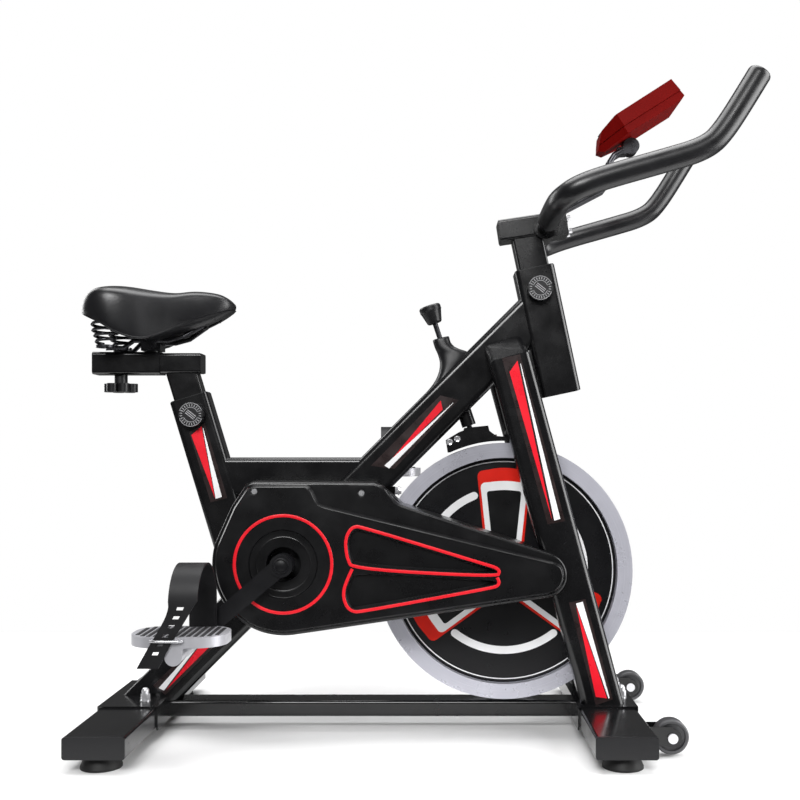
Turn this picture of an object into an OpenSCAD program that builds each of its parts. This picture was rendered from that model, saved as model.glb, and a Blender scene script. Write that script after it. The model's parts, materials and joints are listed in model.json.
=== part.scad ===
// Indoor spin bike: a welded box-tube frame on two stabilizers, a belt-driven
// flywheel, and a saddle and handlebar that slide in the frame's sockets.
// +X is the front of the bike, +Y its left side, +Z up. The origin is on the
// floor, under the middle of the bike.

/* [Frame tubes] */
// Depth of the main beam, measured in the bike's own plane
beam_depth = 66; // [62:1:68]
// Width of the main beam and the bottom tube
beam_width = 44; // [42:1:44]
// Tilt of the seat tube from upright
seat_tilt = 16.9; // [16.5:0.1:17.3]
// Depth and width of the seat tube
seat_tube_size = [60, 40];
// Tilt of the head tube from upright
head_tilt = 12; // [11.5:0.1:12.5]
// Depth and width of the head tube
head_tube_size = [62, 50];
// Tilt of the two fork legs from upright
leg_tilt = 15.05; // [14.9:0.05:15.2]
// Depth and width of each fork leg
leg_size = [62, 40];
// Wall thickness of the box tubes
tube_wall = 2; // [1.5:0.1:2.5]

/* [Stabilizers] */
// Overall length of each stabilizer, side to side
stab_length = 480; // [460:5:500]
// Width and height of the stabilizer tubes
stab_size = [84, 30.5];
// Height of the stabilizers above the floor
stab_z = 19; // [17:0.5:21]

/* [Drive] */
// Length of each crank arm
crank_length = 170; // [165:1:172]
// Angle of the right crank below the rearward direction
crank_angle = 40.4; // [35:0.1:45]
// Radius of the drive pulley on the crank spindle
drive_pulley_r = 92; // [88:1:93]
// Radius of the small pulley on the flywheel axle
flywheel_pulley_r = 23; // [22:0.5:24]
// Outside radius of the flywheel
flywheel_r = 197; // [190:1:198]
// Half the width of the flywheel rim
rim_half = 20; // [16:1:21]

/* [Saddle and handlebar] */
// Radius of the foam grips on the handlebar
grip_r = 16.5; // [15:0.5:17]
// Radius of the handlebar's steel tube
bar_r = 12.7; // [11:0.1:13]
// Side distance of the forearm bars from the middle
bar_side = 206; // [195:1:210]
// Width of the monitor
monitor_w = 90; // [80:1:95]

/* [Hidden] */
$fn = 48;
eps = 0.01;
big = 400;

// Points in the bike's own plane are [x, z].
bb = [-183.5, 264];
hub = [144, 244];
beam_start = [-430, 19];
beam_length = 893.7;
seat_axis = [-314.5, 415.4];
seat_down = 225;
seat_up = 99.6;
head_foot = [231, 517];
head_length = 197;
leg_foot = [287.1, 52];
leg_y = 55;
leg_bend = 524.5;
leg_lean = 60;
top_tube_z = [358.4, 418.4];
bottom_tube_z = [20, 45];

rear_x = -416;
front_x = 292;
stab_top = stab_z + stab_size[1];
bracket_wall = 2.5;
bracket_top = stab_top + bracket_wall;
bracket_half = stab_size[0] / 2 + bracket_wall;
bracket_y = 87;

seat_post_size = [47, 28];
head_post_size = [47, 38];
slide_gap = 0.15;
seat_post_in = 225;
head_post_in = 150;

shaft_r = 8.5;
bearing_r = 17.5;
bearing_w = 10;
run_gap = 0.05;
belt_y = [-68, -56];
guard_y = [-110, -77, -26];
guard_r = 105;
guard_nose = [197, 247];
guard_nose_r = 33;
guard_wall = 2.5;

crank_y = [-128, -114];
pedal_y = [-228, -132];
crank_dir = [-cos(crank_angle), -sin(crank_angle)];
pedal_axis_right = bb + crank_length * crank_dir;
pedal_axis_left = bb - crank_length * crank_dir;

brake_foot = [91, 465];
brake_tilt = 18.43;
brake_bore = 4;
lever_pivot = [155, 456];
pad_gap = 3.5;

carriage_x = [-491, -387];
carriage_z = [547, 581.5];
rail_x = [-486, -326];
rail_z = [549, 579.6];
saddle_pin_x = -402;

wheel_centre = [368, 28.4];
wheel_r = 24.6;
wheel_y = 155;

frame_black = [0.04, 0.04, 0.045];
plastic_black = [0.06, 0.06, 0.065];
rubber_black = [0.03, 0.03, 0.03];
steel = [0.7, 0.7, 0.74];
chrome = [0.85, 0.85, 0.87];
monitor_red = [0.6, 0.08, 0.05];

// ---------- shared shapes ----------

// A rectangle with true round corners, centred
module rrect(w, d, r) {
    square([w - 2 * r, d], center = true);
    square([w, d - 2 * r], center = true);
    for (sx = [-1, 1], sy = [-1, 1]) {
        translate([sx * (w / 2 - r), sy * (d / 2 - r)]) circle(r);
    }
}

// A box tube along +Z
module box_tube(size, l, r, wall) {
    linear_extrude(l) difference() {
        rrect(size[0], size[1], r);
        rrect(size[0] - 2 * wall, size[1] - 2 * wall, max(r - wall, 0.5));
    }
}

// The same tube's outside, solid
module box_bar(size, l, r) {
    linear_extrude(l) rrect(size[0], size[1], r);
}

// Places children with their +Z leaning by tilt towards +X from a point in the plane
module lean(p, tilt) {
    translate([p[0], 0, p[1]]) rotate([0, tilt, 0]) children();
}

// Extrudes an outline drawn in the bike's own plane from y0 to y1
module plate(y0, y1) {
    translate([0, y1, 0]) rotate([90, 0, 0]) linear_extrude(y1 - y0) children();
}

// A cylinder along Y
module y_cyl(p, r, y0, y1) {
    translate([p[0], y0, p[1]]) rotate([-90, 0, 0]) cylinder(r = r, h = y1 - y0);
}

// Points along an arc, both ends included
function arc(c, r, a0, a1, n) =
    [for (i = [0 : n]) c + r * [cos(a0 + (a1 - a0) * i / n), sin(a0 + (a1 - a0) * i / n)]];

// The outline of a belt round two circles
module belt_outline(c1, r1, c2, r2, n = 20) {
    d = c2 - c1;
    phi = atan2(d[1], d[0]);
    beta = acos((r1 - r2) / norm(d));
    polygon(concat(arc(c1, r1, phi + beta, phi + 360 - beta, n),
                   arc(c2, r2, phi - beta, phi + beta, n)));
}

// A round rod between two points
module rod(p, q, r) {
    d = q - p;
    translate(p) rotate([0, acos(d[2] / norm(d)), atan2(d[1], d[0])]) cylinder(r = r, h = norm(d));
}

// Round rods through a list of points, with ball joints at the bends
module rod_path(points, r) {
    for (i = [0 : len(points) - 2]) rod(points[i], points[i + 1], r);
    for (i = [1 : len(points) - 2]) translate(points[i]) sphere(1.01 * r);
}

// A copy on each side of the bike
module both_sides() {
    children();
    mirror([0, 1, 0]) children();
}

// ---------- frame ----------

module beam_bar() {
    lean(beam_start, 45) box_bar([beam_depth, beam_width], beam_length, 10);
}

module seat_bar() {
    lean(seat_axis, -seat_tilt) translate([0, 0, -seat_down])
        box_bar(seat_tube_size, seat_down + seat_up, 8);
}

module head_bar() {
    lean(head_foot, -head_tilt) box_bar(head_tube_size, head_length, 9);
}

guide_r = 11;
guide_span = [3, 140];

module main_beam() {
    color(frame_black) {
        difference() {
            lean(beam_start, 45) box_tube([beam_depth, beam_width], beam_length, 10, 2.5);
            translate([rear_x - 200, -big / 2, bracket_top - big])
                cube([200 + bracket_half, big, big]);
            translate([rear_x, -big / 2, bottom_tube_z[1] - big]) cube([300, big, big]);
            head_bar();
            y_cyl(bb, 21, -60, 60);
            lean(brake_foot, -brake_tilt) cylinder(r = guide_r - 0.5, h = 200);
        }
        lean(brake_foot, -brake_tilt) translate([0, 0, guide_span[0]]) difference() {
            cylinder(r = guide_r, h = guide_span[1] - guide_span[0]);
            translate([0, 0, -1]) cylinder(r = brake_bore + run_gap, h = 200);
        }
    }
}

module seat_tube() {
    color(frame_black) difference() {
        lean(seat_axis, -seat_tilt) translate([0, 0, -seat_down])
            box_tube(seat_tube_size, seat_down + seat_up, 8, tube_wall);
        beam_bar();
        seat_knob_place() knob_hole();
    }
}

module top_tube() {
    h = top_tube_z[1] - top_tube_z[0];
    x0 = seat_axis[0] + 8;
    color(frame_black) difference() {
        translate([x0, 0, (top_tube_z[0] + top_tube_z[1]) / 2]) rotate([0, 90, 0])
            box_tube([h, 38], 246, 8, tube_wall);
        beam_bar();
        seat_bar();
    }
}

module head_tube() {
    color(frame_black) difference() {
        lean(head_foot, -head_tilt) box_tube(head_tube_size, head_length, 9, tube_wall);
        head_knob_place() knob_hole();
    }
}

module bottom_tube() {
    x0 = rear_x + bracket_half;
    l = front_x - bracket_half - x0;
    h = bottom_tube_z[1] - bottom_tube_z[0];
    color(frame_black) translate([x0, 0, bottom_tube_z[0] + h / 2]) rotate([0, 90, 0])
        box_tube([h, beam_width], l, 5, tube_wall);
}

// One straight stretch of a fork leg, cut at the mitre where it bends inwards
module leg_stretch(bend, from, l) {
    mitre = leg_lean / 2;
    lean(leg_foot, -leg_tilt) difference() {
        translate([0, -leg_y, leg_bend]) rotate([-bend, 0, 0]) translate([0, 0, from])
            box_tube(leg_size, l, 10, tube_wall);
        translate([0, -leg_y, leg_bend]) rotate([-mitre, 0, 0])
            translate([-big / 2, -big / 2, bend > 0 ? -big : 0]) cube([big, big, big]);
    }
}

module fork_leg() {
    difference() {
        leg_stretch(0, -leg_bend - 60, leg_bend + 100);
        translate([-big, -big, bracket_top - big]) cube([3 * big, 2 * big, big]);
    }
    difference() {
        leg_stretch(leg_lean, -60, 160);
        translate([-big, -beam_width / 2, 0]) cube([3 * big, big, 2 * big]);
    }
    // the dropout plate and bearing housing welded to the leg's inner face
    difference() {
        union() {
            plate(-35, -29) belt_outline(hub, 26, [226, 250], 22);
            y_cyl(hub, 22, -46, -29);
        }
        y_cyl(hub, bearing_r, -47, -34);
        y_cyl(hub, 12, -50, 0);
    }
}

module fork_leg_right() {
    color(frame_black) fork_leg();
}

module fork_leg_left() {
    color(frame_black) mirror([0, 1, 0]) fork_leg();
}

shell_half = 34;

module bottom_bracket_shell() {
    color(frame_black) difference() {
        y_cyl(bb, 21, -shell_half, shell_half);
        y_cyl(bb, bearing_r, -shell_half - 1, -shell_half + bearing_w);
        y_cyl(bb, bearing_r, shell_half - bearing_w, shell_half + 1);
        y_cyl(bb, 14, -shell_half, shell_half);
    }
}

// Four identical ball bearings: two in the crank shell, two in the dropouts
module shaft_bearings() {
    color(steel) {
        for (place = [[bb, shell_half], [hub, 44]]) {
            both_sides() difference() {
                y_cyl(place[0], bearing_r, -place[1], -place[1] + bearing_w);
                y_cyl(place[0], shaft_r + run_gap, -place[1] - 1, -place[1] + bearing_w + 1);
            }
        }
    }
}

// ---------- base ----------

module stab_tube(x) {
    half = stab_length / 2 - 3;
    translate([x, half, stab_z + stab_size[1] / 2]) rotate([90, 0, 0])
        box_tube(stab_size, 2 * half, 4, tube_wall);
}

module rear_stabilizer() {
    color(frame_black) stab_tube(rear_x);
}

// The front one carries two forked brackets for the transport wheels
module front_stabilizer() {
    face = front_x + stab_size[0] / 2;
    color(frame_black) {
        stab_tube(front_x);
        for (side = [-1, 1], cheek = [-14.5, 12]) {
            y0 = side * wheel_y + cheek;
            difference() {
                plate(y0, y0 + 2.5) union() {
                    translate(wheel_centre) circle(13);
                    translate([face - eps, stab_z + 5]) square([wheel_centre[0] - face, 20]);
                    polygon([[face - eps, stab_z + 3], [wheel_centre[0], wheel_centre[1] - 13],
                             wheel_centre, [face - eps, stab_z + 20]]);
                }
                y_cyl(wheel_centre, 4.1, y0 - 1, y0 + 4);
            }
        }
    }
}

// Channel brackets that seat the welded frame on the stabilizers
module base_brackets() {
    color(frame_black) for (x = [rear_x, front_x]) {
        difference() {
            translate([x - bracket_half, -bracket_y, stab_z - 2])
                cube([2 * bracket_half, 2 * bracket_y, bracket_top - stab_z + 2]);
            translate([x - stab_size[0] / 2 - 0.05, -bracket_y - 1, stab_z - 3])
                cube([stab_size[0] + 0.1, 2 * bracket_y + 2, stab_size[1] + 3]);
        }
    }
}

module stabilizer_end_caps() {
    inner = [stab_size[0] - 2 * tube_wall - 0.4, stab_size[1] - 2 * tube_wall - 0.4];
    half = stab_length / 2;
    color(plastic_black) for (x = [rear_x, front_x]) both_sides() {
        translate([x, -half + 3, stab_z + stab_size[1] / 2]) rotate([90, 0, 0])
            linear_extrude(3) rrect(stab_size[0], stab_size[1], 4);
        translate([x, -half + 16, stab_z + stab_size[1] / 2]) rotate([90, 0, 0])
            box_tube(inner, 13 + eps, 2, 2);
    }
}

// A domed nut on the top of a bracket, with its washer
module dome_nut(x, y) {
    translate([x, y, bracket_top]) {
        cylinder(r = 8, h = 1.6);
        translate([0, 0, 1.6]) cylinder(r = 7.2, h = 9, $fn = 6);
        translate([0, 0, 10.4]) cylinder(r = 5.6, h = 4);
        translate([0, 0, 14.3]) intersection() {
            sphere(5.6);
            translate([-10, -10, 0]) cube([20, 20, 10]);
        }
    }
}

// The frame's base bolts, and the bolts that the transport wheels turn on
module base_fasteners() {
    color(chrome) {
        for (y = [-50, 50]) dome_nut(rear_x + 16, y);
        for (y = [-28, 28]) dome_nut(front_x + 30, y);
        for (side = [-1, 1]) {
            y_cyl(wheel_centre, 4, side * wheel_y - 17, side * wheel_y + 17);
            y_cyl(wheel_centre, 7, side * wheel_y - 18.5, side * wheel_y - 14.5);
            y_cyl(wheel_centre, 7, side * wheel_y + 14.5, side * wheel_y + 18.5);
        }
    }
}

module rubber_feet() {
    color(rubber_black) for (x = [rear_x, front_x], y = [-205, 205]) {
        translate([x, y, 0]) {
            cylinder(r = 28, h = 3);
            translate([0, 0, 3]) cylinder(r1 = 28, r2 = 21, h = stab_z - 3);
        }
    }
}

// ---------- sockets for the posts ----------

// A plastic liner in a tube's mouth, with a thin lip on the tube's end
module bushing(tube, post, l) {
    hole = [post[0] + 2 * slide_gap, post[1] + 2 * slide_gap];
    body = [tube[0] - 2 * tube_wall - 0.2, tube[1] - 2 * tube_wall - 0.2];
    difference() {
        union() {
            translate([0, 0, -l]) box_bar(body, l, 7.2);
            box_bar([tube[0] - 2, tube[1] - 2], 1.5, 7);
        }
        translate([0, 0, -l - 1]) box_bar(hole, l + 4, 4);
    }
}

module tube_bushings() {
    color(plastic_black) {
        difference() {
            lean(seat_axis, -seat_tilt) translate([0, 0, seat_up])
                bushing(seat_tube_size, seat_post_size, 60);
            seat_knob_place() knob_hole();
        }
        difference() {
            lean(head_foot, -head_tilt) translate([0, 0, head_length])
                bushing(head_tube_size, head_post_size, 60);
            head_knob_place() knob_hole();
        }
    }
}

seat_knob_drop = 28;
head_knob_drop = 34;

module seat_knob_place() {
    lean(seat_axis, -seat_tilt) translate([0, -seat_tube_size[1] / 2, seat_up - seat_knob_drop])
        rotate([90, 0, 0]) children();
}

module head_knob_place() {
    lean(head_foot, -head_tilt) translate([0, -head_tube_size[1] / 2, head_length - head_knob_drop])
        rotate([90, 0, 0]) children();
}

module knob_hole() {
    translate([0, 0, -9]) cylinder(r = 4.1, h = 12);
}

// A round clamping knob: its screw presses on the post inside the tube
module clamp_knob(reach) {
    difference() {
        translate([0, 0, 3]) cylinder(r = 19, h = 13);
        for (i = [0 : 11]) rotate(i * 30) translate([20.6, 0, 2]) cylinder(r = 2.6, h = 15);
    }
    translate([0, 0, 0.4]) cylinder(r = 10, h = 3);
    translate([0, 0, -reach]) cylinder(r = 4, h = reach + 1);
}

module seat_height_knob() {
    gap = seat_tube_size[1] / 2 - seat_post_size[1] / 2 - 0.3;
    color(plastic_black) seat_knob_place() clamp_knob(gap);
}

module handlebar_height_knob() {
    gap = head_tube_size[1] / 2 - head_post_size[1] / 2 - 0.3;
    color(plastic_black) head_knob_place() clamp_knob(gap);
}

// ---------- belt guard ----------

// The guard's side outline: a drum round the crank, a raised crest that screws to
// the frame, and a long taper to a small nose
module guard_outline(inset) {
    d = guard_nose - bb;
    phi = atan2(d[1], d[0]);
    beta = acos((guard_r - guard_nose_r) / norm(d));
    polygon(concat(
        [[-12 - inset / 4, 350 - inset], [-30 - inset, 366 - inset], [-52 - inset, 382 - inset],
         [-235 + inset / 2, 384 - inset], [-260 + inset, 348 - inset / 3]],
        arc(bb, guard_r - inset, 163, 360 + phi - beta, 30),
        arc(guard_nose, guard_nose_r - inset, phi - beta, 75, 14)));
}

// The raised face: full height over the drum, a broad step below the taper's top edge
module guard_face(inset) {
    d = guard_nose - bb;
    phi = atan2(d[1], d[0]);
    beta = acos((guard_r - guard_nose_r) / norm(d));
    rim = 5 + inset;
    polygon(concat(
        [[213 - inset, 266.5 - inset], [-118, 347.5 - inset], [-133 - inset, 353 - inset],
         [-142 - inset, 372 - inset], [-150 - inset, 379 - inset], [-235 + inset, 379 - inset],
         [-256 + inset, 346]],
        arc(bb, guard_r - rim, 163, 360 + phi - beta, 30),
        arc(guard_nose, guard_nose_r - rim, phi - beta, 20, 12)));
}

// One of the two long pockets: three rounded corners
module pocket(a, b, c, ra, rb, rc) {
    belt_outline(a, ra, c, rc);
    belt_outline(b, rb, c, rc);
    belt_outline(a, ra, b, rb - eps);
    polygon([a, b, c]);
}

module pockets(grow) {
    pocket([-72, 300], [-70, 267], [119, 254.5], 14 + grow, 5 + grow, 4 + grow);
    pocket([-77, 214], [-70, 246], [119, 240], 14 + grow, 5 + grow, 4 + grow);
}

guard_step = 7;
pocket_depth = 8;
recess_r = 50;
recess_depth = 3;

module belt_guard_outer() {
    face = guard_y[0];
    split = guard_y[1];
    color(plastic_black) difference() {
        union() {
            difference() {
                union() {
                    plate(face + guard_step, split) guard_outline(0);
                    plate(face, face + guard_step + eps) guard_face(0);
                }
                plate(face + guard_step + guard_wall, split + 1) guard_outline(guard_wall);
                plate(face + guard_wall, split) guard_face(guard_wall);
            }
            plate(face + eps, face + pocket_depth + guard_wall) pockets(guard_wall);
            y_cyl(bb, recess_r + 2, face + eps, face + recess_depth + guard_wall);
            for (s = guard_screws) y_cyl(s, 7, face + s[2] + eps, face + s[2] + 9);
        }
        plate(face - 1, face + pocket_depth) pockets(0);
        y_cyl(bb, recess_r, face - 1, face + recess_depth);
        y_cyl(bb, 24, face - 1, face + 20);
        for (s = guard_screws) {
            y_cyl(s, 2.6, face - 1, split);
            y_cyl(s, 4.8, face - 1, face + s[2] + 5);
        }
    }
}

guard_screws = [[-225.5, 370, 0], [-70.3, 367, guard_step]];
guard_hanger = [-40, 351.5];

// The rear half stops short of the fork leg, which passes through the nose
module belt_guard_inner() {
    split = guard_y[1];
    back = guard_y[2];
    color(plastic_black) difference() {
        plate(split, back) guard_outline(0);
        plate(split - 1, back - guard_wall) guard_outline(guard_wall);
        y_cyl(bb, 24, back - 10, back + 10);
        y_cyl(hub, 30, back - 10, back + 10);
        y_cyl(guard_hanger, 4.1, back - 10, back + 10);
        lean(leg_foot, -leg_tilt) translate([-40, -200, -40]) cube([200, 400, 700]);
    }
}

// Cover screws, and the chrome tab that hangs the guard from the beam
module guard_fixings() {
    face = guard_y[0];
    tab_y = -beam_width / 2 - 3;
    color(chrome) {
        for (s = guard_screws) {
            y_cyl(s, 2.2, face + s[2] + 3.5, face + s[2] + 20);
            y_cyl(s, 4.2, face + s[2] + 2, face + s[2] + 4.9);
        }
        difference() {
            translate([-50, tab_y, 343]) cube([26, 2.9, 31]);
            y_cyl(guard_hanger, 4.05, -40, 0);
        }
        // A bolt standing out of the tab's front edge, short of the flywheel's rim
        translate([-24.2, tab_y + 1.45, 367.5]) rotate([0, 90, 0]) {
            cylinder(r = 1.4, h = 6);
            translate([0, 0, 0.4]) cylinder(r = 5.6, h = 4.5, $fn = 6);
            translate([0, 0, 4.9]) cylinder(r = 7, h = 1.6);
            translate([0, 0, 6.5]) cylinder(r = 5, h = 3);
        }
        y_cyl(guard_hanger, 4, -32, -16);
        y_cyl(guard_hanger, 7, tab_y + 3, -16);
    }
}

// ---------- drive ----------

module drive_belt() {
    gap = 0.3;
    thick = 3;
    color(rubber_black) plate(belt_y[0] + 1, belt_y[1] - 1) difference() {
        belt_outline(bb, drive_pulley_r + gap + thick, hub, flywheel_pulley_r + gap + thick, 40);
        belt_outline(bb, drive_pulley_r + gap, hub, flywheel_pulley_r + gap, 40);
    }
}

// A flanged pulley
module pulley(centre, r, hub_r, y0, y1) {
    y_cyl(centre, r, belt_y[0], belt_y[1]);
    y_cyl(centre, hub_r, y0, y1);
}

module flywheel_pulley() {
    color(steel) difference() {
        pulley(hub, flywheel_pulley_r, 16, -70, -48);
        y_cyl(hub, shaft_r + run_gap, -80, -30);
    }
}

module drive_pulley() {
    mid = (belt_y[0] + belt_y[1]) / 2;
    color(plastic_black) difference() {
        pulley(bb, drive_pulley_r, 24, -72, -38);
        y_cyl(bb, shaft_r + run_gap, -80, -30);
        for (y = [[belt_y[0] - 1, mid - 2], [mid + 2, belt_y[1] + 1]]) difference() {
            y_cyl(bb, drive_pulley_r - 7, y[0], y[1]);
            y_cyl(bb, 24, y[0] - 1, y[1] + 1);
        }
        for (i = [0 : 4]) translate([bb[0], 0, bb[1]]) rotate([0, 36 + i * 72, 0])
            y_cyl([0, 54], 20, belt_y[0], belt_y[1]);
    }
}

module crank_spindle() {
    color(steel) y_cyl(bb, shaft_r, -130, 130);
}

module crank_arm(end) {
    difference() {
        union() {
            y_cyl(bb, 16.5, -132, -104);
            plate(crank_y[0], crank_y[1]) belt_outline(bb, 13.5, end, 11.5);
        }
        y_cyl(bb, shaft_r + run_gap, -140, -90);
    }
}

module crank_right() {
    color(plastic_black) crank_arm(pedal_axis_right);
}

module crank_left() {
    color(plastic_black) mirror([0, 1, 0]) crank_arm(pedal_axis_left);
}

module pedal_axles() {
    color(steel) {
        y_cyl(pedal_axis_right, 7, -221.5, crank_y[0]);
        y_cyl(pedal_axis_left, 7, -crank_y[0], 221.5);
    }
}

pedal_top = 25;
pedal_rim = 14;

// A platform pedal on its own bearing barrel, with a weighted outer tongue
module pedal(axis) {
    mid = (pedal_y[0] + pedal_y[1]) / 2;
    long = pedal_y[1] - pedal_y[0];
    difference() {
        union() {
            translate([axis[0], mid, axis[1] + pedal_top - pedal_rim]) linear_extrude(pedal_rim)
                rrect(132, long, 40);
            y_cyl(axis, 12, pedal_y[0] + 1, pedal_y[1]);
            plate(pedal_y[0], pedal_y[0] + 5) union() {
                translate(axis - [0, 1.4]) circle(11.6);
                translate(axis + [-11.6, -1.4]) square([23.2, pedal_top]);
            }
        }
        y_cyl(axis, 7 + run_gap, pedal_y[0] + 6, pedal_y[1] + 1);
        translate([axis[0] - 21.5, pedal_y[1] - 9.5, axis[1]]) cube([43, 5, 60]);
        // the platform is open underneath, either side of the barrel
        for (side = [-1, 1]) translate([axis[0] + side * 34, mid, axis[1] + 5])
            linear_extrude(pedal_top - 9) rrect(36, long - 26, 12);
    }
}

// The toe strap: up from the inner slot, over the foot and down outside
module pedal_strap(axis, top) {
    r = 47;
    w = 20;
    thick = 2.5;
    y_mid = pedal_y[1] - 7 - r + thick / 2;
    bow = [0, top - r];
    translate([axis[0] - w, y_mid, axis[1]]) rotate([90, 0, 90]) linear_extrude(2 * w)
        polygon(concat([[r, 12]], arc(bow, r, 0, 180, 30), [[-r, -16], [thick - r, -16]],
                       arc(bow, r - thick, 180, 0, 30), [[r - thick, 12]]));
}

module pedal_right() {
    color(steel) pedal(pedal_axis_right);
}

module pedal_strap_right() {
    color(rubber_black) pedal_strap(pedal_axis_right, 121);
}

module pedal_left() {
    color(steel) mirror([0, 1, 0]) pedal(pedal_axis_left);
}

module pedal_strap_left() {
    color(rubber_black) mirror([0, 1, 0]) pedal_strap(pedal_axis_left, 96);
}

// ---------- flywheel ----------

rim_in = 174;
web_half = 5;

module flywheel() {
    color(steel) difference() {
        translate([hub[0], 0, hub[1]]) rotate([90, 0, 0]) rotate_extrude($fn = 96) {
            translate([rim_in, -rim_half]) square([flywheel_r - rim_in, 2 * rim_half]);
            translate([16, -web_half - 3]) square([rim_in - 15, 2 * web_half + 6]);
            translate([shaft_r + run_gap, -25]) square([12, 50]);
        }
    }
}

module flywheel_axle() {
    color(steel) {
        y_cyl(hub, shaft_r, -76, 56);
        y_cyl(hub, 11, 46.5, 56);
        y_cyl(hub, 11, -47.9, -46.5);
        y_cyl(hub, 13, -79, -70.2);
    }
}

// ---------- brake ----------

// The moulded collar where the brake rod enters the beam: it flares to a long foot
module brake_boss() {
    outline = [[33.8, 599.2], [36.5, 590], [42, 577], [44.5, 565], [42.5, 550], [36, 534],
               [22, 518], [40, 512], [98, 570], [90.4, 585.5], [76.2, 582], [66, 588],
               [61, 595.5], [58.1, 605.4]];
    color(plastic_black) difference() {
        plate(-15, 15) polygon(outline);
        beam_bar();
        lean(brake_foot, -brake_tilt) {
            cylinder(r = guide_r + run_gap, h = guide_span[1] + 0.5);
            cylinder(r = brake_bore + 0.3, h = 200);
        }
    }
}

module brake_rod() {
    color(steel) lean(brake_foot, -brake_tilt) translate([0, 0, -3]) cylinder(r = brake_bore, h = 189);
}

module brake_knob() {
    color(plastic_black) lean(brake_foot, -brake_tilt) translate([0, 0, 171]) difference() {
        rotate_extrude() polygon([[0, 0], [10, 0], [11.5, 1.5], [16, 18], [17, 20], [17, 26],
                                  [15.5, 28], [0, 30]]);
        translate([0, 0, -1]) cylinder(r = brake_bore + run_gap, h = 17);
    }
}

module brake_pivot_pin() {
    color(steel) y_cyl(lever_pivot, 4, -35, 35);
}

lever_half = 26;

module brake_lever() {
    color(frame_black) difference() {
        union() {
            plate(-lever_half, lever_half) polygon([
                [57, 426], [54, 445.5], [74, 457.5], [82, 460.5], [82.5, 464], [118.5, 467.5],
                [120.5, 459.5], [131, 451.5], [152, 450], [152, 442], [100, 430]]);
            y_cyl(lever_pivot, 9, -lever_half, lever_half);
        }
        y_cyl(hub, flywheel_r + pad_gap, -40, 40);
        y_cyl(hub, flywheel_r + pad_gap + 10, -lever_half + 3, lever_half - 3);
        y_cyl(lever_pivot, 4 + run_gap, -40, 40);
        lean(brake_foot, -brake_tilt) translate([0, 0, -3.4]) cylinder(r = 6, h = 30);
    }
}

module brake_pad() {
    color([0.25, 0.22, 0.2]) intersection() {
        difference() {
            y_cyl(hub, flywheel_r + pad_gap + 9.8, -22.5, 22.5);
            y_cyl(hub, flywheel_r + pad_gap, -30, 30);
        }
        translate([60, -40, 400]) cube([72, 80, 100]);
    }
}

// ---------- seat ----------

// The inner post, with the short level rail that the carriage slides on
module seat_post() {
    mid = (rail_z[0] + rail_z[1]) / 2;
    top_len = 150;
    color(frame_black) {
        translate([rail_x[0], 0, mid]) rotate([0, 90, 0])
            box_tube([rail_z[1] - rail_z[0], 36], rail_x[1] - rail_x[0], 4, tube_wall);
        translate([rail_x[1] - 1, 0, mid]) rotate([0, 90, 0])
            box_bar([rail_z[1] - rail_z[0] - 1, 35], 3, 3.5);
        difference() {
            lean(seat_axis, -seat_tilt) translate([0, 0, seat_up - seat_post_in])
                box_tube(seat_post_size, seat_post_in + top_len, 4, tube_wall);
            translate([-big - 200, -big / 2, rail_z[0] + 1]) cube([2 * big, big, big]);
        }
    }
}

module seat_carriage() {
    mid = (carriage_z[0] + carriage_z[1]) / 2;
    color(frame_black) {
        difference() {
            translate([carriage_x[0], 0, mid]) rotate([0, 90, 0])
                box_tube([carriage_z[1] - carriage_z[0], 40], carriage_x[1] - carriage_x[0], 5, 1.6);
            translate([slide_knob_x, 0, carriage_z[0] - 5]) cylinder(r = 4.1, h = 10);
        }
        translate([carriage_x[0], 0, mid]) rotate([0, 90, 0])
            box_bar([carriage_z[1] - carriage_z[0] - 3, 37], 3, 3);
        translate([saddle_pin_x, 0, carriage_z[1] - 1]) cylinder(r = 11, h = 24);
    }
}

slide_knob_x = -452;

// A star knob: its screw presses up on the rail
module seat_slide_knob() {
    top = carriage_z[0];
    color(plastic_black) {
        translate([slide_knob_x, 0, top - 27]) {
            cylinder(r = 15, h = 13);
            for (i = [0 : 5]) rotate(i * 60) translate([17.5, 0, 0]) cylinder(r = 8.5, h = 13);
            cylinder(r = 10, h = 26.6);
        }
        translate([slide_knob_x, 0, top - 10]) cylinder(r = 4, h = 11.7);
    }
}

saddle_hinge = [-322, 623];
rail_y = 21;
spring_x = -463;
spring_y = 42;

// The clamp that holds the rails on the saddle pin
module saddle_clamp() {
    z0 = carriage_z[1] + 2;
    color(steel) difference() {
        union() {
            translate([saddle_pin_x - 15, -15, z0]) cube([30, 30, 18]);
            y_cyl([saddle_pin_x, z0 + 12], 11, -31, 31);
        }
        translate([saddle_pin_x, 0, z0 - 1]) cylinder(r = 11.05, h = 22);
        both_sides() rod([saddle_pin_x - 40, rail_y, 598], [saddle_pin_x + 40, rail_y, 598], 3.6);
        translate([saddle_pin_x - 20, -40, z0 - 20]) cube([40, 80, 20]);
    }
}

module saddle_rails() {
    color(steel) both_sides() {
        rod_path([[-322, 13, 621.5], [-350, rail_y, 604], [-372, rail_y, 598], [-426, rail_y, 598],
                  [-440, 27, 586.2], [spring_x, spring_y, 584.4]], 3.5);
        translate([spring_x, spring_y, 585]) cylinder(r = 14, h = 4);
    }
    color(steel) y_cyl(saddle_hinge, 3, -16, 16);
}

// Two rear coil springs, drawn as plain sleeves of their outside size
module saddle_springs() {
    color(steel) both_sides() translate([spring_x, spring_y, 589.2]) difference() {
        cylinder(r = 22, h = 35.6);
        translate([0, 0, -1]) cylinder(r = 15, h = 40);
    }
}

saddle_rear = [-441, 44];
saddle_rear_r = 52;
saddle_nose = [-300, 0];
saddle_nose_r = 28;

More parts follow.
